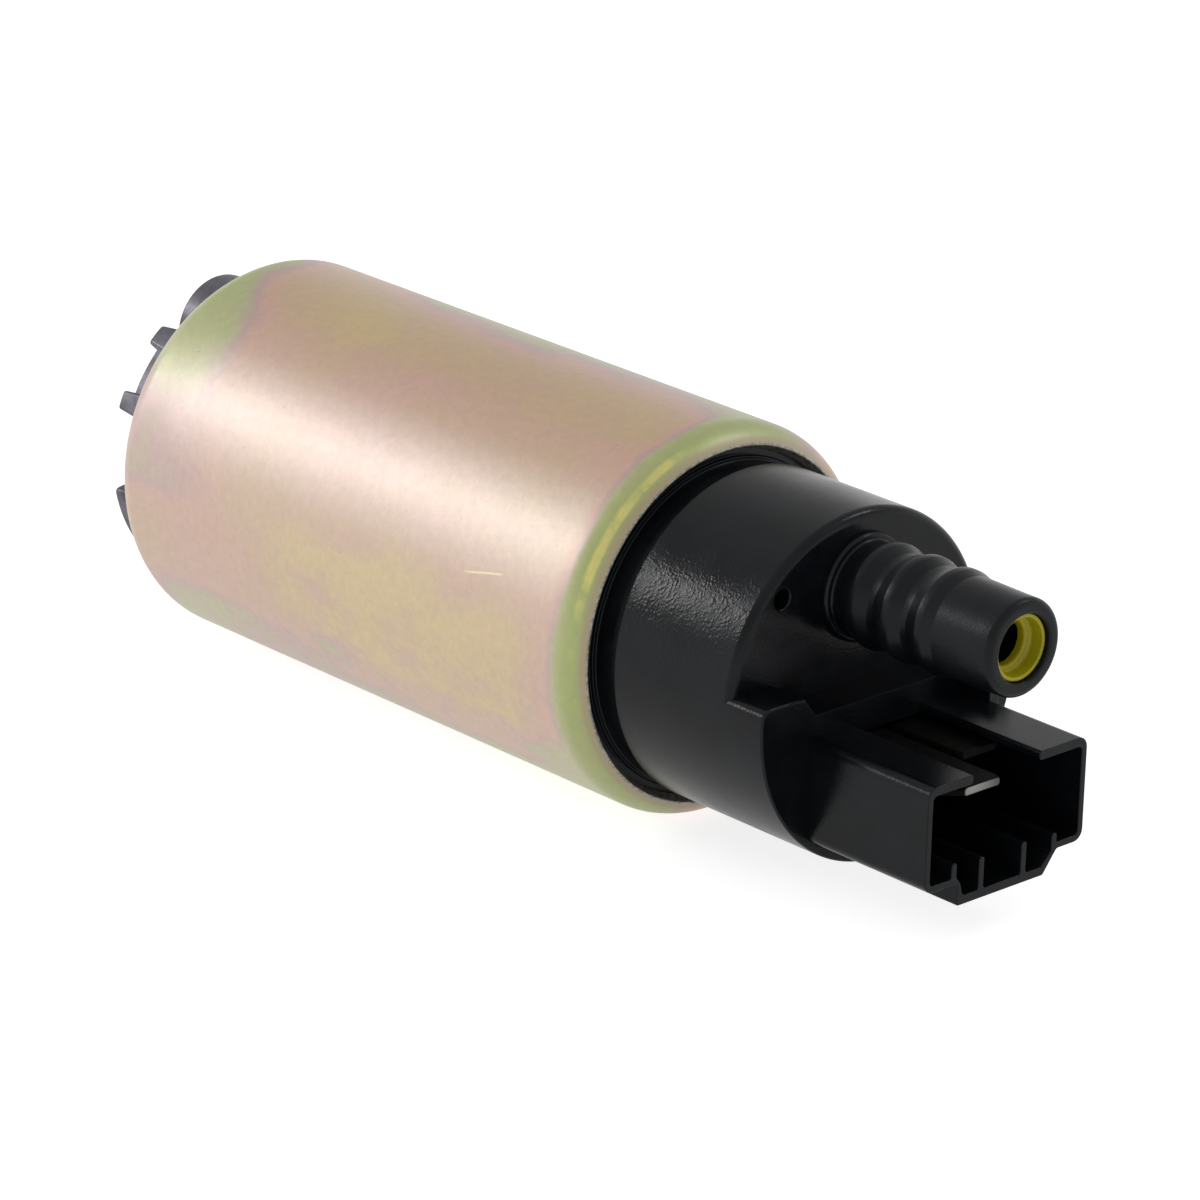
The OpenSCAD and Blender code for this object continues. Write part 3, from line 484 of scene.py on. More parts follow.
@dataclass(frozen=True)
class Plating:
    """Yellow zinc plate: gold, tan, rose, olive or lime by its film's thickness, steel at the cut, and a
    painted highlight and painted light mixed in pale.
    """

    film: tuple[tuple[float, str], ...] = (
        (0.0, "C6AA50"), (0.3, "BE9769"), (0.46, "C49077"), (0.58, "B0867E"), (0.7, "A2A062"),
        (0.84, "9FAC48"), (1.0, "DACF5A"))
    # Pale colour of the painted highlight and of the painted light on the lower side.
    pale: str = "E8D2C4"
    fringe: str = "A08A5C"
    steel: str = "A29C92"
    pit: str = "5F5646"
    scratch: str = "EBD8A8"
    metallic: float = 0.2
    rough: float = 0.42
    coat_rough: float = 0.46
    top: Area = Area((70, 0.9, 1.0), ((12, 22),), 0.34)
    low: Area = Area((232, 0.88, 0.95), ((1, 6),), 0.36, ragged=0.06)
    rose: Area = Area((162, 0.94, 0.985), ((20, 8),), 0.2)
    gold: Area = Area((198, 0.8, 0.97), ((16, 34), (66, 58)), -0.4, blotched=True)
    crown: Area = Area((95, 0.92, 0.99), ((4, 14),), -0.14)
    # The body between the two rolled ends, as places where the painted highlight fades in and out.
    body: tuple[Pair, Pair] = ((4, 10), (64.5, 62.5))
    # Where the pale scratch starts and ends along the can, how far it leans a millimetre, and its direction.
    scratch_span: Pair = (51.0, 57.0)
    scratch_lean: float = 0.221
    scratch_side: float = 253.4

    def make(self) -> Material:
        """Returns the can's material."""
        r = Recipe("can_plating")
        along = r.along
        cloud = r.noise(17, 3, 0.5, (1.4, 1, 1))
        patch = r.noise(4, 3, 0.55)
        fine = r.noise(0.9, 4, 0.6)
        colour = r.ramp(self.thickness(r, cloud) + (patch - 0.5) * 0.22, self.film)
        # Painted light: the lower side, towards 185 degrees, is mixed paler everywhere except on the outlet
        # roll.
        colour = r.mix(r.facing(185, 0.1, 0.95) * along.between(66, 63.5) * 0.3, colour, self.pale)
        starts, stops = self.body
        body = along.between(*starts) * along.between(*stops)
        # Painted highlight: the side towards 147 degrees, under the key lamp's highlight, is mixed paler in
        # patches.
        colour = r.mix(r.facing(147, 0.93, 1.0) * body * (patch * 0.3 + 0.22), colour, self.pale)
        dust = r.noise(0.4, 2, 0.7).between(0.56, 0.72)
        colour = r.mix(fine.between(0.3, 0.7) * 0.12 + dust * 0.1, colour, self.pit)
        roll = self.roll(r)
        colour = r.mix(roll.between(0.94, 1.3) * along.between(65, 65.5) * 0.8, colour, self.fringe)
        colour = r.mix(r.cells(3.6).between(0.035, 0.0175) * 0.6, colour, self.pit)
        grit = r.noise(0.35, 2, 0.7).between(0.42, 0.6)
        cut = roll.between(1.7, 1.8) * along.between(66.0, 66.3)
        colour = r.mix(cut, colour, r.mix(grit, self.pit, self.steel))
        mark = self.scratched(r, cloud)
        colour = r.mix(mark, colour, self.scratch)
        rough = (self.rough - 0.06) + fine * 0.08 + cloud * 0.06
        height = fine * 0.5 + r.noise(0.22, 2, 0.6) * 0.5 + mark
        return r.dress(Base_Color=colour, Metallic=self.metallic, Roughness=rough, Specular_IOR_Level=0.8,
                       Coat_Weight=1.0, Coat_Roughness=self.coat_rough, Coat_IOR=2.0,
                       Normal=r.bump(height, 0.02, 0.6))

    def thickness(self, r: Recipe, cloud: Wave) -> Wave:
        """Returns the film's thickness, which grows towards the rolled ends, along the top and underneath,
        and rises to yellow on the outlet roll's curve as a painted highlight.

        Args:
            r: The can's recipe.
            cloud: The large clouds.
        """
        along = r.along
        drift = cloud - 0.5
        wobble = along + drift * 9
        blotch = r.noise(6, 4, 0.6, (1.6, 1, 1))
        film = drift * 0.7 + 0.36
        for area in (self.top, self.low, self.rose, self.gold, self.crown):
            film = film + area.change(r, drift, wobble, blotch.between(0.36, 0.58))
        bend = r.facing(138, 0.75, 1.0) * 6
        inlet = (along + drift * 6 - bend).between(7.5, 1.5) * r.facing(112, 0.72, 0.9, drift * 0.2)
        outlet = (along + drift * 2).between(63.0, 65.6) * r.facing(140, 0.15, 0.5, drift * 0.3)
        ends = inlet.most(outlet)
        roll = self.roll(r)
        # Painted highlight: the middle of the outlet roll's curve turns yellow on the side towards 135
        # degrees.
        glint_side = (r.facing(135, 0.8, 0.97) * 0.85 + 0.15) * blotch.between(0.3, 0.55)
        painted_lip_glint = roll.between(0.42, 0.66) * roll.between(1.08, 0.84) * outlet * glint_side
        return film * (1 - ends) + ends * 0.8 + painted_lip_glint * 0.2

    @staticmethod
    def roll(r: Recipe) -> Wave:
        """Returns how far round the outlet roll a point is: 0 at its start and 1.9 at the sheared edge."""
        return (r.along - Can.shoulder) / (r.reach() - (Can.radius - Can.outlet_roll))

    def scratched(self, r: Recipe, cloud: Wave) -> Wave:
        """Returns the one pale scratch on the side of the can."""
        start, stop = self.scratch_span
        lean = (r.along - (start + stop) / 2) * self.scratch_lean
        across = r.side(self.scratch_side) * Can.radius + lean + (cloud - 0.5) * 1.5
        near = (across * across).between(0.016, 0.002)
        ends = r.along.between(start, start + 2) * r.along.between(stop, stop - 1)
        return near * ends * r.facing(163, 0.2, 0.5)


@dataclass(frozen=True)
class Moulding:
    """Moulded plastic: a base colour with a fine grain, faint flow clouds and a moving gloss."""

    name: str
    colour: str
    cloudy: str
    rough: float = 0.3
    grain: float = 0.12
    depth: float = 0.01
    shine: float = 0.5
    smudge: float = 0.05
    swell: float = 0.6
    # Strength of the moulded dimples on the outlet cap's round side, 0 for a plain plastic.
    texture: float = 0.0

    def make(self) -> Material:
        """Returns the plastic's material."""
        r = Recipe(self.name)
        cloud = r.noise(5, 4, 0.55)
        fine = r.noise(self.grain, 2, 0.6)
        wave = r.noise(1.4, 3, 0.5)
        colour = r.mix(cloud.between(0.35, 0.7), self.colour, self.cloudy)
        rough = (self.rough - self.smudge) + fine * 0.06 + cloud.between(0.35, 0.65) * self.smudge * 2
        if self.texture:
            cell = r.cells(self.grain * 1.5)
            shown = r.facing(147, 0.85, 0.97) * 0.85 + 0.15
            outside = r.reach().between(15.7, 15.9) * r.x.between(36, 34.5)
            fine = fine + cell * cell * outside * shown * (wave.between(0.3, 0.7) * self.texture)
            nipple = r.x.between(37, 38) * r.up.between(3, 4)
            rough = rough + nipple * 0.12
        return r.dress(Base_Color=colour, Roughness=rough, Specular_IOR_Level=self.shine,
                       Normal=r.bump(fine * 0.7 + wave * self.swell, self.depth, 0.7))


@dataclass(frozen=True)
class Metal:
    """A plain metal: its colour, a darker tint in patches, and fine marks along or round the pump."""

    name: str
    colour: str
    tint: str
    rough: float = 0.3
    marks: Triple = (1, 1, 1)
    patch: float = 3.0
    grain: float = 0.2
    depth: float = 0.004
    metallic: float = 1.0

    def make(self) -> Material:
        """Returns the metal's material."""
        r = Recipe(self.name)
        patch = r.noise(self.patch, 4, 0.6)
        marks = r.noise(self.grain, 3, 0.6, self.marks)
        colour = r.mix(patch.between(0.35, 0.75), self.colour, self.tint)
        colour = r.mix(marks.between(0.45, 0.8) * 0.4, colour, self.tint)
        rough = (self.rough - 0.06) + marks * 0.08 + patch * 0.06
        return r.dress(Base_Color=colour, Metallic=self.metallic, Roughness=rough,
                       Normal=r.bump(marks, self.depth, 0.7))


@dataclass(frozen=True)
class ShadedTin:
    """Tin plate painted near-black all over as painted shade, keeping its own bright metal only on the
    blade's front edge, where a highlight falls.
    """

    name: str
    tip: float
    lit_edge: float
    # Colours of the painted shade, and the tin's own colour on the lit edge.
    colour: str = "0B0B0A"
    tint: str = "131210"
    metal: str = "8E8C88"

    def make(self) -> Material:
        """Returns the blade's material."""
        r = Recipe(self.name)
        patch = r.noise(1.2, 4, 0.6)
        marks = r.noise(0.12, 3, 0.6, (12, 1, 1))
        # Painted highlight: bright metal on the front edge, stronger towards x = -4.6 mm; the rest of the
        # blade is painted shade.
        lit_edge_mask = r.along.between(self.tip - 0.16, self.tip - 0.05) * self.lit_edge
        lit_edge_mask = lit_edge_mask * (r.y.between(0.6, -4.6) * 0.75 + 0.25) * (patch * 0.4 + 0.8)
        dark = r.mix(patch.between(0.4, 0.7), self.colour, self.tint)
        return r.dress(Base_Color=r.mix(lit_edge_mask, dark, self.metal), Metallic=lit_edge_mask, Specular_IOR_Level=0.03,
                       Roughness=0.46 + marks * 0.08 - lit_edge_mask * 0.2, Normal=r.bump(marks, 0.003, 0.7))


@dataclass(frozen=True)
class Layered:
    """Stacked steel laminations, or turns of wire, that follow each other along the pump."""

    name: str
    colour: str
    seam: str
    pitch: float
    rough: float = 0.4
    metallic: float = 1.0
    depth: float = 0.05

    def make(self) -> Material:
        """Returns the layered material."""
        r = Recipe(self.name)
        saw = r.add("ShaderNodeMath", {"operation": "PINGPONG"}, {0: r.x, 1: self.pitch / 2})
        saw = saw * (2 / self.pitch)
        groove = saw.between(0.28, 0.02)
        grain = r.noise(0.5, 3, 0.6)
        colour = r.mix(groove * 0.8 + grain.between(0.5, 0.8) * 0.2, self.colour, self.seam)
        return r.dress(Base_Color=colour, Metallic=self.metallic, Roughness=self.rough + grain * 0.1,
                       Normal=r.bump(saw ** 0.5 + grain * 0.1, self.depth))


@dataclass
class Part:
    """A piece that is built anew in the place of one CAD node."""

    piece: str
    slot: str
    node: str

    def draw(self) -> Shape:
        """Returns the piece's shape."""
        raise NotImplementedError

    def build(self, finish: Material) -> Object:
        """Builds the piece.

        Args:
            finish: Its material.

        Returns:
            The piece's object.
        """
        return self.draw().piece(self.piece, finish, self.slot, [self.node])


@dataclass
class Can(Part):
    """The steel can with its two rolled ends."""

    radius: float = 19.0
    wall: float = 1.2
    inlet_roll: float = 2.9
    shoulder: float = 64.6
    outlet_roll: float = 3.2
    # Angle of the roll at which its outside ends in a cone, and the angle of the sheared edge.
    cone: float = math.radians(62)
    lip: float = math.radians(65)

    def draw(self) -> Shape:
        """Returns the can's shape."""
        roll, mouth = self.outlet_roll, self.radius - self.inlet_roll
        middle = self.radius - roll
        far = roll / math.cos(self.lip - self.cone)
        near = roll - self.wall
        across, up = math.cos(self.lip), math.sin(self.lip)
        corners = [
            (mouth, 0, 0.12), (self.radius, 0, self.inlet_roll),
            (self.radius, self.shoulder + roll * math.tan(self.cone / 2), roll),
            (middle + far * across, self.shoulder + far * up, 0.14),
            (middle + near * across, self.shoulder + near * up, 0),
            (self.radius - self.wall, self.shoulder + near * math.tan(self.lip / 2), near),
            (self.radius - self.wall, self.wall, self.inlet_roll - self.wall), (mouth, self.wall, 0.12),
        ]
        shape = Shape()
        shape.lathe(corners, steps=256, detail=14)
        return shape


@dataclass
class EndCap(Part):
    """The black outlet end cap with its nipple, vent, stepped face and electrical socket."""

    radius: float = 16.08
    face: float = 84.8
    base: float = 57.02
    flange: float = 17.75
    waist_r: float = 15.53
    waist: Pair = (66.7, 69.5)
    groove_r: float = 16.55
    groove: Pair = (59.42, 61.02)
    # Wells that open at the base, for the brush springs, the chokes and the relief valve.
    well_top: float = 66.02
    brush_well_r: float = 2.4
    choke_well_r: float = 2.5
    vent: Point = (-9.977, 9.923)
    vent_r: float = 0.93
    vent_soft: float = 0.18
    relief_r: float = 1.8
    relief_seat_r: float = 2.35
    relief_seat_top: float = 58.57
    # The nipple, and one barb as radius, height over its foot and rounding.
    foot_r: float = 5.17
    foot_top: float = 85.5
    neck_r: float = 4.5
    barb: tuple[Corner, ...] = ((4.45, 0, 0.6), (5.05, 1.5, 0.9), (5.02, 2.2, 0.8), (4.48, 3.4, 0.6))
    last_edge: Corner = (4.7, 3.3, 0.6)
    barbs: int = 3
    first_barb: float = 86.45
    pitch: float = 4.15
    nose: float = 103.0
    nose_r: float = 4.62
    tip: float = 105.0
    valve_r: float = 3.2
    valve_floor: float = 91.5
    passage_r: float = 2.2
    # The step across the lower half of the face.
    step: float = 89.0
    step_root: float = 72.0
    step_soft: float = 0.2193
    pocket_floor: float = 87.0
    shelf: float = 11.0
    shelf_y: float = 2.0
    dip: Point = (9.4, 0.05)
    corner_r: float = 1.1
    # The socket's mouth, half width, walls, rails under the gap, tray and ribs.
    mouth: float = 103.9
    half: float = 10.1
    wall: float = 0.65
    rail: float = -2.1
    rail_t: float = 0.9
    gap: Pair = (-4.5, 3.9)
    floor: float = -12.2
    tray: float = -14.35
    tray_t: float = 0.85
    rib_half: float = 0.325
    edge_top: float = 92.8

    def body(self, shape: Shape) -> None:
        """Adds the round body with its wells, the vent and the nipple as one closed skin."""
        low, high = self.waist
        bottom, top = self.groove
        shape.lathe([
            (15.178, self.face, 0), (self.radius, self.face, 0.9), (self.radius, high, 0.35),
            (self.waist_r, high, 0.15), (self.waist_r, low, 0.15), (15.95, low, 0.12), (16.0, 66.37, 0.1),
            (16.624, 66.367, 0), (self.flange, 65.842, 1.95), (self.flange, top, 0.1),
            (self.groove_r, top, 0.1), (self.groove_r, bottom, 0.1), (self.flange, bottom, 0.1),
            (self.flange, self.base, 0.25), (17.2, self.base, 0),
        ], closed=False, steps=256, detail=8)
        shape.lathe([
            (self.vent_r + self.vent_soft, self.face, 0), (self.vent_r, self.face, self.vent_soft),
            (self.vent_r, self.well_top, 0), (self.relief_r, self.well_top, 0),
            (self.relief_r, self.relief_seat_top, 0), (self.relief_seat_r, self.relief_seat_top, 0),
            (self.relief_seat_r, self.base, 0),
        ], closed=False, about=self.vent, steps=48)
        shape.lathe(self.nipple(), closed=False, about=(0, NIPPLE_Y), steps=192, detail=10)
        for side in (-1, 1):
            self.well(shape, self.brush_well_r, (side * BRUSH_X, 0))
            self.well(shape, self.choke_well_r, (side * CHOKE_X, CHOKE_Y))
        shape.fill_level(self.face)
        shape.fill_level(self.base)

    def well(self, shape: Shape, radius: float, about: Point) -> None:
        """Adds one blind well that opens at the base."""
        shape.lathe([(radius, self.base, 0), (radius, self.well_top, 0), (0, self.well_top, 0)], closed=False,
                    about=about, steps=48)

    def nipple(self) -> list[Corner]:
        """Returns the nipple's half section from the foot over the barbs and the tip to the passage."""
        corners = [(self.foot_r, self.face, 0), (self.foot_r, self.foot_top, 0.35),
                   (self.neck_r, self.foot_top, 0.25)]
        for i in range(self.barbs):
            low = self.first_barb + i * self.pitch
            corners += [(r, low + up, soft) for r, up, soft in self.barb]
        r, up, soft = self.last_edge
        corners[-1] = (r, low + up, soft)
        return corners + [
            (self.nose_r, self.nose, 3.0), (self.nose_r, self.tip, 0.7), (self.valve_r, self.tip, 0.25),
            (self.valve_r, self.valve_floor, 0), (self.passage_r, self.valve_floor, 0),
            (self.passage_r, self.base, 0),
        ]

    def stepped_face(self) -> Shape:
        """Returns the step with the pocket that the socket's floor is sunk into."""
        shape = Shape()
        r, soft, low = self.radius + 0.01, self.corner_r, self.step_root
        angle = math.asin((self.shelf_y - soft) / (r - soft))
        x, y = r * math.cos(angle), r * math.sin(angle)
        side = x - (self.shelf_y - y) * math.tan(angle)
        right = [(x, y, 0), (side, self.shelf_y, soft), (self.shelf, self.shelf_y, 0), (*self.dip, 0)]
        left = [(-u, w, r) for u, w, r in reversed(right)]
        edges = shape.wire(Plane.OUTLINE, right + left, closed=False, level=low)
        last = edges[-1].verts[0] if len(edges[-1].verts[0].link_edges) == 1 else edges[-1].verts[1]
        bmesh.ops.spin(shape.bm, geom=[last], cent=(0, 0, low), axis=(0, 0, 1), angle=math.pi + 2 * angle,
                       steps=128, use_merge=False)
        bmesh.ops.remove_doubles(shape.bm, verts=shape.bm.verts, dist=1e-3)
        edges = list(shape.bm.edges)
        roof = shape.push(edges, (0, 0, self.step - low))
        pocket = shape.wire(Plane.OUTLINE, self.cavity(), level=self.pocket_floor)
        roof += shape.push(pocket, (0, 0, self.step - self.pocket_floor))
        for loops in (edges, pocket, roof):
            shape.fill(loops, (0, 0, 1))
        shape.soften(self.step_soft, self.outer_edge, 6)
        shape.soften(0.2, lambda m: m.z > self.step - 0.01 and m.y > -0.2, 3)
        return shape

    def outer_edge(self, middle: Vector) -> bool:
        """Tells whether an edge of the step is one of its widely rounded ones, by the edge's middle."""
        if middle.z < self.step - 0.01:
            return False
        at_end = middle.y > self.shelf_y - self.corner_r and abs(middle.x) > self.shelf + 0.4
        return at_end or middle.xy.length > self.radius - 0.05

    def cavity(self) -> list[Corner]:
        """Returns the outline of the pocket at the foot of the socket."""
        inner, under = self.half - self.wall, self.rail - self.rail_t
        floor, tray = self.floor + self.wall, self.tray + self.tray_t
        return [(-inner, under, 0.45), (-inner, floor, 0.45), (-5.25, floor, 0), (-5.25, tray, 0),
                (4.8, tray, 0), (6.15, self.floor, 0), (6.15, floor, 0), (inner, floor, 0.45),
                (inner, under, 0.45)]

    def rib(self, middle: float, tip: float, right: Pair, left: Pair) -> list[Corner]:
        """Returns the outline of one rib inside the socket.

        Args:
            middle: Its place across the socket.
            tip: Height of its tip.
            right: Height and rounding of its right foot.
            left: Height and rounding of its left foot.
        """
        far, near = middle + self.rib_half, middle - self.rib_half
        return [(far, *right), (far, tip, 0.28), (near, tip, 0.28), (near, *left)]

    def socket_walls(self) -> list[Corner]:
        """Returns the outline of the socket's walls, rails, ribs and tray as one bent strip."""
        half, inner, rail, under = self.half, self.half - self.wall, self.rail, self.rail - self.rail_t
        floor, tray = self.floor + self.wall, self.tray + self.tray_t
        left, right = self.gap
        foot = (tray, 0.3)
        return [
            (left, rail, 0.32), (-half, rail, 1.1), (-half, self.floor, 1.1), (-5.9, self.floor, 0.2),
            (-5.9, self.tray, 0.25), (5.1, self.tray, 0.3), (6.8, self.floor, 0.4), (half, self.floor, 1.1),
            (half, rail, 1.1), (right, rail, 0.32), (right, under, 0.32), (inner, under, 0.45),
            (inner, floor, 0.45), *self.rib(6.4, -10.6, (floor, 0.1), (-12.27, 0.15)), (4.8, tray, 0.2),
            *self.rib(2.5, -10.4, foot, foot), *self.rib(-2.9, -10.4, foot, foot), (-5.2, tray, 0.45),
            (-5.5, -12.3, 0.8), *self.rib(-6.4, -10.1, (-11.5, 0.3), (floor, 0.3)), (-inner, floor, 0.45),
            (-inner, under, 0.45), (left, under, 0.32),
        ]

    def socket(self) -> Shape:
        """Returns the socket's walls and the upright edge beside the step."""
        shape = Shape()
        shape.plate(Plane.OUTLINE, [self.socket_walls()], self.step - 0.5, self.mouth, detail=5)
        shape.soften(0.22, lambda m: m.z > self.mouth - 0.01, 4)
        edge = Shape()
        x0, x1, y0, y1 = self.half - 1.2, self.half, self.rail - 0.5, self.dip[1]
        outline = [(x0, y0, 0.1), (x1, y0, 0.1), (x1, y1, 0.3), (x0, y1, 0.3)]
        edge.plate(Plane.OUTLINE, [outline], self.step - 1, self.edge_top)
        edge.soften(0.2, lambda m: m.z > self.edge_top - 0.1, 3)
        shape.take(edge)
        return shape

    def draw(self) -> Shape:
        """Returns the cap's shape."""
        shape = Shape()
        self.body(shape)
        bmesh.ops.recalc_face_normals(shape.bm, faces=shape.bm.faces)
        for part in (self.stepped_face(), self.socket()):
            bmesh.ops.recalc_face_normals(part.bm, faces=part.bm.faces)
            shape.take(part)
        return shape


@dataclass
class Retainer(Part):
    """The yellow-green retainer that holds the check valve in the nipple's tip."""

    rim: float = 104.5
    floor: float = 103.0
    floor_t: float = 1.0
    radius: float = 3.15
    wall: float = 0.4
    hole: float = 2.1
    guide: Pair = (97.3, 99.0)
    guide_r: Pair = (0.95, 1.65)
    arms: int = 3
    arm_half: float = 0.4
    first_arm: float = 30.0

    def draw(self) -> Shape:
        """Returns the retainer's shape: a cup and the stem's guide, joined by arms."""
        shape = Shape()
        low, high = self.guide
        inside, outside = self.guide_r
        about = (0, NIPPLE_Y)
        under, inner = self.floor - self.floor_t, self.radius - self.wall
        shape.lathe([(self.hole, under, 0.15), (self.radius, under, 0.15), (self.radius, self.rim, 0.15),
                     (inner, self.rim, 0.12), (inner, self.floor, 0.35), (self.hole, self.floor, 0.3)],
                    about=about, steps=96)
        shape.lathe([(inside, low, 0.08), (outside, low, 0.08), (outside, high, 0.08), (inside, high, 0.08)],
                    about=about, steps=64)
        x0, x1, x2 = inside + 0.1, self.hole + 0.2, self.radius - 0.1
        z0, z1, z2 = low + 0.05, high - 0.05, under + 0.1
        outline = [(x0, z0, 0.08), (x2, z0, 0.08), (x2, z2, 0), (x1, z2, 0), (x1, z1, 0.2), (x0, z1, 0.08)]
        arms = Shape()
        for i in range(self.arms):
            arm = Shape()
            arm.plate(Plane.SECTION, [outline], -self.arm_half, self.arm_half)
            arm.soften(0.08)
            angle = math.radians(360 / self.arms * i + self.first_arm)
            turn = Matrix.Translation((*about, 0)) @ Matrix.Rotation(angle, 4, "Z")
            bmesh.ops.transform(arm.bm, matrix=turn, verts=arm.bm.verts)
            arms.take(arm)
        shape.take(arms)
        return shape


@dataclass
class InletCover(Part):
    """The die-cast inlet cover with its ring, lugs, flow channel and inlet tube."""

    flange: float = 17.75
    flange_low: float = 1.25
    top: float = 5.0
    floor: float = -0.3
    disc_r: float = 14.0
    tube_y: float = 10.1
    tube_r: float = 5.33
    bore_r: float = 4.1
    port_r: float = 3.85
    tube_end: float = -7.0
    pad_r: float = 2.4
    pad_floor: float = 2.0
    boss_r: float = 3.6
    boss_end: float = -1.6
    vapour: Point = (-6.375, -11.04)
    vapour_r: float = 0.6
    channel_mid: float = 13.05
    channel_r: float = 1.05
    channel_start: float = 110.0
    channel_sweep: float = 280.0
    # The ring's low arc, its webs and its lugs: inner and outer radius, reach out of the can and rounding,
    # and for each one the angle of its middle, its width and the lean of its ends.
    ring: tuple[float, ...] = (13.6, 15.5, 1.9, 0.3)
    ring_arcs: tuple[Triple, ...] = ((270, 330, 0),)
    web: tuple[float, ...] = (13.75, 15.8, 2.75, 0.35)
    webs: tuple[Triple, ...] = ((144.75, 24.5, 0), (35.25, 24.5, 0))
    lug: tuple[float, ...] = (13.9, 15.95, 4.2, 0.45)
    lugs: tuple[Triple, ...] = ((130.75, 13.5, 2.6), (157.5, 11.5, 2.3), (205, 32, 2.0), (49.25, 13.5, 2.6),
                                (22.5, 11.5, 2.3), (335, 32, 2.0))

    @staticmethod
    def arc(section: Sequence[float], middle: float, width: float, taper: float) -> Shape:
        """Returns one raised arc of the ring.

        Args:
            section: Inner radius, outer radius, reach out of the can and rounding.
            middle: Angle of its middle in degrees.
            width: Angle that it spans at its foot.
            taper: Angle that each of its ends leans in by, up to the top.
        """
        r0, r1, reach, soft = section
        root = 2.0
        shape = Shape()
        shape.lathe([(r0, root, 0), (r0, -reach, 0), (r1, -reach, 0), (r1, root, 0)],
                    start=middle - width / 2, sweep=width, steps=max(6, round(width / 2.5)))
        way = Vector((math.cos(math.radians(middle)), math.sin(math.radians(middle))))
        for vert in [v for v in shape.bm.verts if v.co.z < -reach + 0.01]:
            off = math.degrees(vert.co.xy.angle_signed(way))
            lean = Matrix.Rotation(math.radians(-off * taper / (width / 2)), 3, "Z")
            bmesh.ops.rotate(shape.bm, verts=[vert], cent=(0, 0, 0), matrix=lean)
        shape.soften(soft, lambda m: m.z < root - 0.5)
        return shape

    def draw(self) -> Shape:
        """Returns the cover's shape."""
        shape = Shape()
        shape.lathe([(self.disc_r, self.floor, 0), (self.disc_r, self.flange_low, 0.1),
                     (self.flange, self.flange_low, 1.65), (self.flange, self.top, 0.2), (17.2, self.top, 0)],
                    closed=False, steps=192)
        shape.lathe([(self.pad_r, self.top, 0), (self.pad_r, self.pad_floor, 0), (0, self.pad_floor, 0)],
                    closed=False, steps=48)
        shape.lathe([(self.boss_r + 0.35, self.floor, 0), (self.boss_r, self.floor, 0.3),
                     (self.boss_r, self.boss_end, 0.3), (0, self.boss_end, 0)], closed=False, steps=64)
        shape.lathe([(self.port_r, self.floor, 0), (self.port_r, self.top, 0)], closed=False,
                    about=(0, self.tube_y), steps=96)
        shape.lathe([(self.vapour_r + 0.1, self.floor, 0), (self.vapour_r, self.floor, 0.1),
                     (self.vapour_r, 3.0, 0), (0, 3.0, 0)], closed=False, about=self.vapour, steps=32)
        self.channel(shape)
        shape.fill_level(self.floor)
        shape.fill_level(self.top)
        tube = Shape()
        tube.lathe([(self.bore_r, 1.6, 0), (self.tube_r, 1.6, 0), (self.tube_r, self.tube_end, 0.35),
                    (self.bore_r, self.tube_end, 0.3)], about=(0, self.tube_y), steps=128)
        shape.take(tube)
        for section, arcs in ((self.ring, self.ring_arcs), (self.web, self.webs), (self.lug, self.lugs)):
            for middle, width, taper in arcs:
                shape.take(self.arc(section, middle, width, taper))
        return shape

    def channel(self, shape: Shape) -> None:
        """Adds the half-round flow channel that runs beside the impeller's vanes."""
        r, level = self.channel_r, self.top
        near, far = self.channel_mid - r, self.channel_mid + r
        edges = shape.wire(Plane.SECTION, [(near, level, 0), (near, level - r, r), (far, level - r, r),
                                           (far, level, 0)], closed=False, detail=8)
        shape.spin(edges, start=self.channel_start, sweep=self.channel_sweep, steps=140)


@dataclass
class Terminal(Part):
    """One blade terminal with its foot on the brush spring."""

    side: int
    tip: float
    low: float = 65.62
    foot_t: float = 0.8
    blade_x: Pair = (0.5, 6.8)
    sheet_y: Pair = (-4.2, -3.4)
    foot_x: Pair = (3.65, 9.4)
    foot_y: Pair = (-4.2, 2.8)
    hole_r: float = 0.75

    def draw(self) -> Shape:
        """Returns the terminal's shape, drawn on the right and mirrored for the left."""
        shape = Shape()
        (x0, x1), low, tip = self.blade_x, self.low, self.tip
        shape.plate(Plane.SECTION, [[(x0, low, 0), (x1, low, 0), (x1, tip - 1.5, 0.4), (4.95, tip, 0.4),
                                     (0.8, tip, 0.25), (x0, tip - 0.8, 0.3)]], *self.sheet_y)
        shape.soften(0.24, lambda m: m.z > 70, 3)
        foot = Shape()
        (x0, x1), (y0, y1), r = self.foot_x, self.foot_y, self.hole_r
        circle = [(BRUSH_X + r * u, r * w, r - 0.01) for u, w in ((-1, -1), (1, -1), (1, 1), (-1, 1))]
        foot.plate(Plane.OUTLINE, [[(x0, y0, 0), (x1, y0, 0.3), (x1, y1, 0.6), (x0, y1, 0.6)], circle], low,
                   low + self.foot_t)
        foot.soften(0.08)
        shape.take(foot)
        if self.side < 0:
            bmesh.ops.scale(shape.bm, vec=(-1, 1, 1), verts=shape.bm.verts)
        return shape


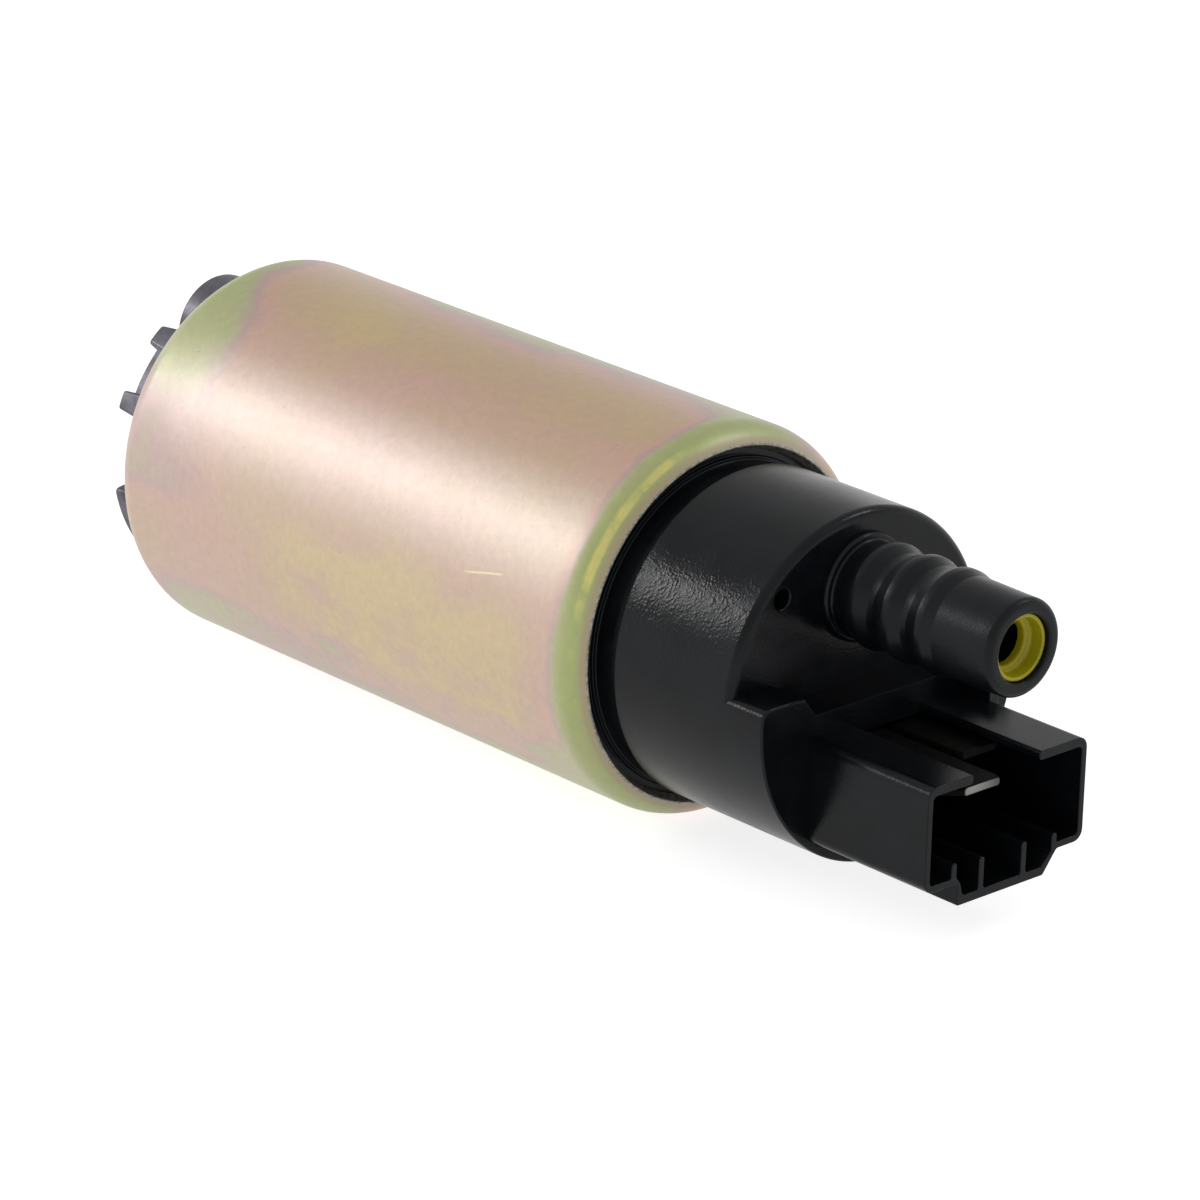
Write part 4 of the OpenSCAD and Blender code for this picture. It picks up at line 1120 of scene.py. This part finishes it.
@dataclass
class Coil(Part):
    """A wound spring or choke coil of round wire, as long as the CAD node that it stands for."""

    at: Point
    mean_r: float
    wire_r: float
    turns: float
    joint: str = ""
    keep: float = 1.0
    low: float = 0.0
    high: float = 0.0

    def draw(self) -> Shape:
        """Returns the wire, wound up from its round end."""
        shape = Shape()
        start = Matrix.Translation((self.mean_r, 0, self.low + self.wire_r))
        made = bmesh.ops.create_circle(shape.bm, segments=10, radius=self.wire_r,
                                       matrix=start @ Matrix.Rotation(math.pi / 2, 4, "X"))
        wire = dict.fromkeys(e for v in made["verts"] for e in v.link_edges)
        shape.spin(wire, about=self.at, sweep=360 * self.turns, steps=round(28 * self.turns),
                   rise=self.high - self.low - 2 * self.wire_r)
        return shape

    def build(self, finish: Material) -> Object:
        """Builds the coil, and gives a coil that has a joint a mesh of its own.

        Args:
            finish: The wire's metal.

        Returns:
            The coil's object.
        """
        made = super().build(finish)
        if self.joint:
            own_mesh(made)
        return made


class Pump:
    """The pump: every piece with its finish."""

    FINISHES = {
        "plating": Plating(),
        "cap": Moulding("cap_black", "0A0C0F", "0F1216", rough=0.18, grain=0.22, depth=0.033, shine=0.21,
                        smudge=0.04, swell=0.15, texture=1.5),
        "die_cast": Metal("die_cast_grey", "706D75", "4F4C55", 0.42, patch=2.2, grain=0.3, depth=0.012,
                          metallic=0.7),
        "casing": Metal("casing_grey", "8F9194", "6E7074", 0.4, patch=2.5, grain=0.3, depth=0.01),
        "holder": Moulding("holder_black", "232427", "2B2C30", 0.42, grain=0.15, depth=0.012),
        "impeller": Moulding("impeller_phenolic", "3A332B", "2A2520", 0.45, grain=0.2, depth=0.015),
        "retainer": Moulding("retainer_olive", "ACA00E", "9A9211", 0.35, grain=0.2),
        "poppet": Moulding("poppet_brown", "5C4A30", "4C3D28", 0.4, grain=0.2),
        "rubber": Moulding("seal_rubber", "2E2824", "38302B", 0.6, grain=0.08, shine=0.3),
        "steel": Metal("ground_steel", "C4C6C9", "A7A9AD", 0.22, (1, 30, 30), patch=4, grain=0.08,
                       depth=0.002),
        "spring": Metal("spring_steel", "A9ACB1", "85888E", 0.28, patch=1.5, grain=0.1, depth=0.002),
        "lamination": Layered("laminations", "84868B", "3C3B3D", pitch=0.5, rough=0.38),
        "magnet": Metal("magnet_ferrite", "3F4145", "303236", 0.62, grain=0.25, depth=0.02, metallic=0.25),
        "copper": Layered("enamelled_copper", "B0602C", "5A2A12", pitch=0.45, rough=0.28),
        "commutator": Metal("commutator_carbon", "3B3836", "5B4A3F", 0.42, (1, 6, 6), patch=2, grain=0.15,
                            depth=0.01, metallic=0.5),
        "bronze": Metal("sintered_bronze", "9A6B3C", "6E4B2A", 0.5, patch=0.8, grain=0.12, depth=0.03),
        "carbon": Metal("brush_carbon", "2E2E30", "454547", 0.5, patch=1, grain=0.1, depth=0.015,
                        metallic=0.4),
        "ferrite": Metal("choke_ferrite", "3D3E42", "2C2D30", 0.45, patch=1.5, depth=0.012, metallic=0.1),
        # Both blades wear painted shade; the right one, deeper in the socket's shade, keeps almost no lit
        # edge.
        "tin_left": ShadedTin("tinned_brass_left", BLADE_TIPS["left"], lit_edge=1.0),
        "tin_right": ShadedTin("tinned_brass_right", BLADE_TIPS["right"], lit_edge=0.06),
        "brass": Metal("valve_brass", "B9923F", "92702E", 0.25, patch=1.5, grain=0.12, depth=0.003),
        "ceramic": Moulding("thrust_ceramic", "D8D8D2", "C9C7BE", 0.2, grain=0.2, depth=0.004),
    }
    # The CAD nodes that keep their solids, by the finish that they wear.
    CARRIED = {
        "ceramic": ("thrust_pad",), "casing": ("pump_casing",), "impeller": ("impeller",),
        "bronze": ("lower_bush", "upper_bush"), "steel": ("armature_shaft", "relief_ball"),
        "lamination": ("armature_core",), "commutator": ("commutator",), "holder": ("brush_holder",),
        "copper": ("armature_winding", "brush_lead_left", "brush_lead_right"),
        "magnet": ("magnet_left", "magnet_right"), "spring": ("magnet_clip_top", "magnet_clip_bottom"),
        "carbon": ("brush_left", "brush_right"), "ferrite": ("choke_core_left", "choke_core_right"),
        "rubber": ("cap_seal_ring",), "poppet": ("check_valve_poppet",), "brass": ("relief_seat",),
    }

    def __init__(self) -> None:
        """Makes the finishes."""
        self.made = {key: finish.make() for key, finish in self.FINISHES.items()}

    @staticmethod
    def shells() -> list[tuple[Part, str]]:
        """Returns the outer pieces that are built anew, each with its finish."""
        made = [(Can("can_rolled", "can", "steel_can"), "plating"),
                (EndCap("cap_moulding", "cap_plastic", "outlet_end_cap"), "cap"),
                (Retainer("valve_retainer_cup", "retainer_plastic", "valve_retainer"), "retainer"),
                (InletCover("inlet_casting", "die_cast", "inlet_cover"), "die_cast")]
        for where, side in (("left", -1), ("right", 1)):
            blade = Terminal("blade_" + where, "tin", "terminal_" + where, side, BLADE_TIPS[where])
            made.append((blade, "tin_" + where))
        return made

    @staticmethod
    def coils() -> list[Coil]:
        """Returns the wound springs and coils."""
        steel, made = "spring_steel", []
        for where, side in (("left", -1), ("right", 1)):
            brush, choke = (side * BRUSH_X, 0), (side * CHOKE_X, CHOKE_Y)
            made.append(Coil("wound_brush_spring_" + where, steel, "brush_spring_" + where, brush,
                             mean_r=1.88, wire_r=0.21, turns=9, joint=f"brush_{where}_slide", keep=5 / 7))
            made.append(Coil("wound_choke_" + where, "copper", "choke_coil_" + where, choke, mean_r=1.95,
                             wire_r=0.38, turns=9.5))
        made.append(Coil("wound_check_spring", steel, "check_valve_spring", (0, NIPPLE_Y), mean_r=1.5,
                         wire_r=0.19, turns=5, joint="check_valve_lift", keep=0.64))
        made.append(Coil("wound_relief_spring", steel, "relief_spring", (-9.997, 9.951), mean_r=1.15,
                         wire_r=0.18, turns=6, joint="relief_valve_lift", keep=0.8))
        return made

    def build(self) -> None:
        """Builds every piece and dresses every CAD node that stays."""
        for part, key in self.shells():
            part.build(self.made[key])
        for coil in self.coils():
            low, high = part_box(coil.node)
            coil.low, coil.high = low.x / MM + INLET, high.x / MM + INLET
            coil.build(self.made["copper" if coil.slot == "copper" else "spring"])
        for key, nodes in self.CARRIED.items():
            for node in nodes:
                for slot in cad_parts[node].material_slots:
                    slot.material = self.made[key]
                log.info("%s wears %s", node, key)


@dataclass(frozen=True)
class Lamp:
    """A square soft lamp that faces the pump: angles in degrees, lengths in metres and power in watts."""

    name: str
    azimuth: float
    height: float
    distance: float
    size: float
    power: float
    shown: bool = True

    def hang(self) -> None:
        """Hangs the lamp, azimuth from +X towards +Y, and shown in reflections or not."""
        a, h = math.radians(self.azimuth), math.radians(self.height)
        way = Vector((math.cos(h) * math.cos(a), math.cos(h) * math.sin(a), math.sin(h)))
        data = bpy.data.lights.new(self.name, "AREA")
        data.shape, data.size, data.energy = "SQUARE", self.size, self.power
        held = bpy.data.objects.new(self.name, data)
        held.location = Vector((0, 0, 0.02)) + way * self.distance
        held.rotation_euler = way.to_track_quat("Z", "Y").to_euler()
        held.visible_glossy = self.shown
        bpy.context.scene.collection.objects.link(held)


@dataclass
class Studio:
    """The pale floor, the soft lamps, the white surroundings and the camera."""

    eye: Triple = (0.37515433, -0.34753365, 0.20859628)
    right: Triple = (0.67411071, 0.73824653, 0.0238076)
    up: Triple = (-0.27530805, 0.22121978, 0.93555721)
    forward: Triple = (-0.68540515, 0.63722356, -0.35237184)
    lens: float = 173.0655
    lamps: tuple[Lamp, ...] = (
        Lamp("key_lamp", -145, 24, distance=1.2, size=0.32, power=2.9),
        Lamp("side_fill", -140, 8, distance=1.3, size=0.9, power=3.2, shown=False),
        Lamp("edge_lamp", 61, 43, distance=1.2, size=0.22, power=1.3),
    )
    # The surroundings: heights between which they dim, light from the zenith and from all round.
    dusk: Pair = (0.1, 0.42)
    zenith: float = 0.64
    fill: float = 0.9
    # The floor: its grey, and the white that it adds of itself where it is looked at, mirrored or lights up.
    floor_grey: float = 0.55
    floor_half: float = 4.0
    lift: float = 0.8
    mirrored: float = 0.62
    bounce: float = 0.38

    def camera(self) -> None:
        """Places the camera as the photograph was taken."""
        data = bpy.data.cameras.new("camera")
        data.sensor_width, data.lens = 36, self.lens
        data.clip_start, data.clip_end = 0.01, 20
        held = bpy.data.objects.new("camera", data)
        back = -Vector(self.forward)
        turn = Matrix((self.right, self.up, tuple(back))).transposed()
        held.matrix_world = Matrix.Translation(self.eye) @ turn.to_4x4()
        bpy.context.scene.collection.objects.link(held)
        bpy.context.scene.camera = held

    @staticmethod
    def rays(recipe: Recipe) -> tuple[Wave, Wave]:
        """Returns a wave that is 1 for the camera's rays, and one that is 1 for clear reflections."""
        camera = recipe.add("ShaderNodeLightPath", {}, {}, "Is Camera Ray")
        outs = camera.socket.node.outputs
        return camera, Wave(recipe, outs["Is Glossy Ray"]).most(Wave(recipe, outs["Is Transmission Ray"]))

    def surroundings(self) -> None:
        """Makes white surroundings that light the pump softly."""
        world = bpy.data.worlds.new("white_room")
        bpy.context.scene.world = world
        world.use_nodes = True
        tree = world.node_tree
        tree.nodes.clear()
        recipe = Recipe("", tree)
        height = recipe.split(recipe.add("ShaderNodeTexCoord", {}, {}, "Generated"))[2]
        glow = 1 - height.between(*self.dusk) * (1 - self.zenith)
        camera, clear = self.rays(recipe)
        strength = (camera.most(clear) * (1 - self.fill) + self.fill) * glow
        light = recipe.add("ShaderNodeBackground", {}, {"Color": (1, 1, 1, 1), "Strength": strength})
        out = tree.nodes.new("ShaderNodeOutputWorld")
        tree.links.new(light.socket, out.inputs[0])

    def floor(self) -> None:
        """Lays a pale floor that keeps the pump's shadow."""
        bm = bmesh.new()
        bmesh.ops.create_grid(bm, x_segments=1, y_segments=1, size=self.floor_half)
        mesh = bpy.data.meshes.new("floor")
        bm.to_mesh(mesh)
        bm.free()
        held = bpy.data.objects.new("floor", mesh)
        bpy.context.scene.collection.objects.link(held)
        recipe = Recipe("floor_pale")
        camera, clear = self.rays(recipe)
        rest = (1 - camera.most(clear)) * self.bounce
        glow = recipe.mix(camera * self.lift + clear * (self.lift * self.mirrored) + rest, "000000", "FFFFFF")
        grey = (self.floor_grey, self.floor_grey, self.floor_grey, 1)
        mesh.materials.append(recipe.dress(Base_Color=grey, Roughness=0.9, Specular_IOR_Level=0.0,
                                           Emission_Color=glow, Emission_Strength=1.0))

    def build(self) -> None:
        """Sets up the whole studio."""
        self.camera()
        for lamp in self.lamps:
            lamp.hang()
        self.surroundings()
        self.floor()
        bpy.context.scene.view_settings.view_transform = "Standard"


def main() -> None:
    """Sets up the studio, then builds and dresses the pump."""
    logging.basicConfig(level=logging.INFO, format="%(name)s: %(message)s")
    Studio().build()
    Pump().build()


if __name__ == "__main__":
    main()
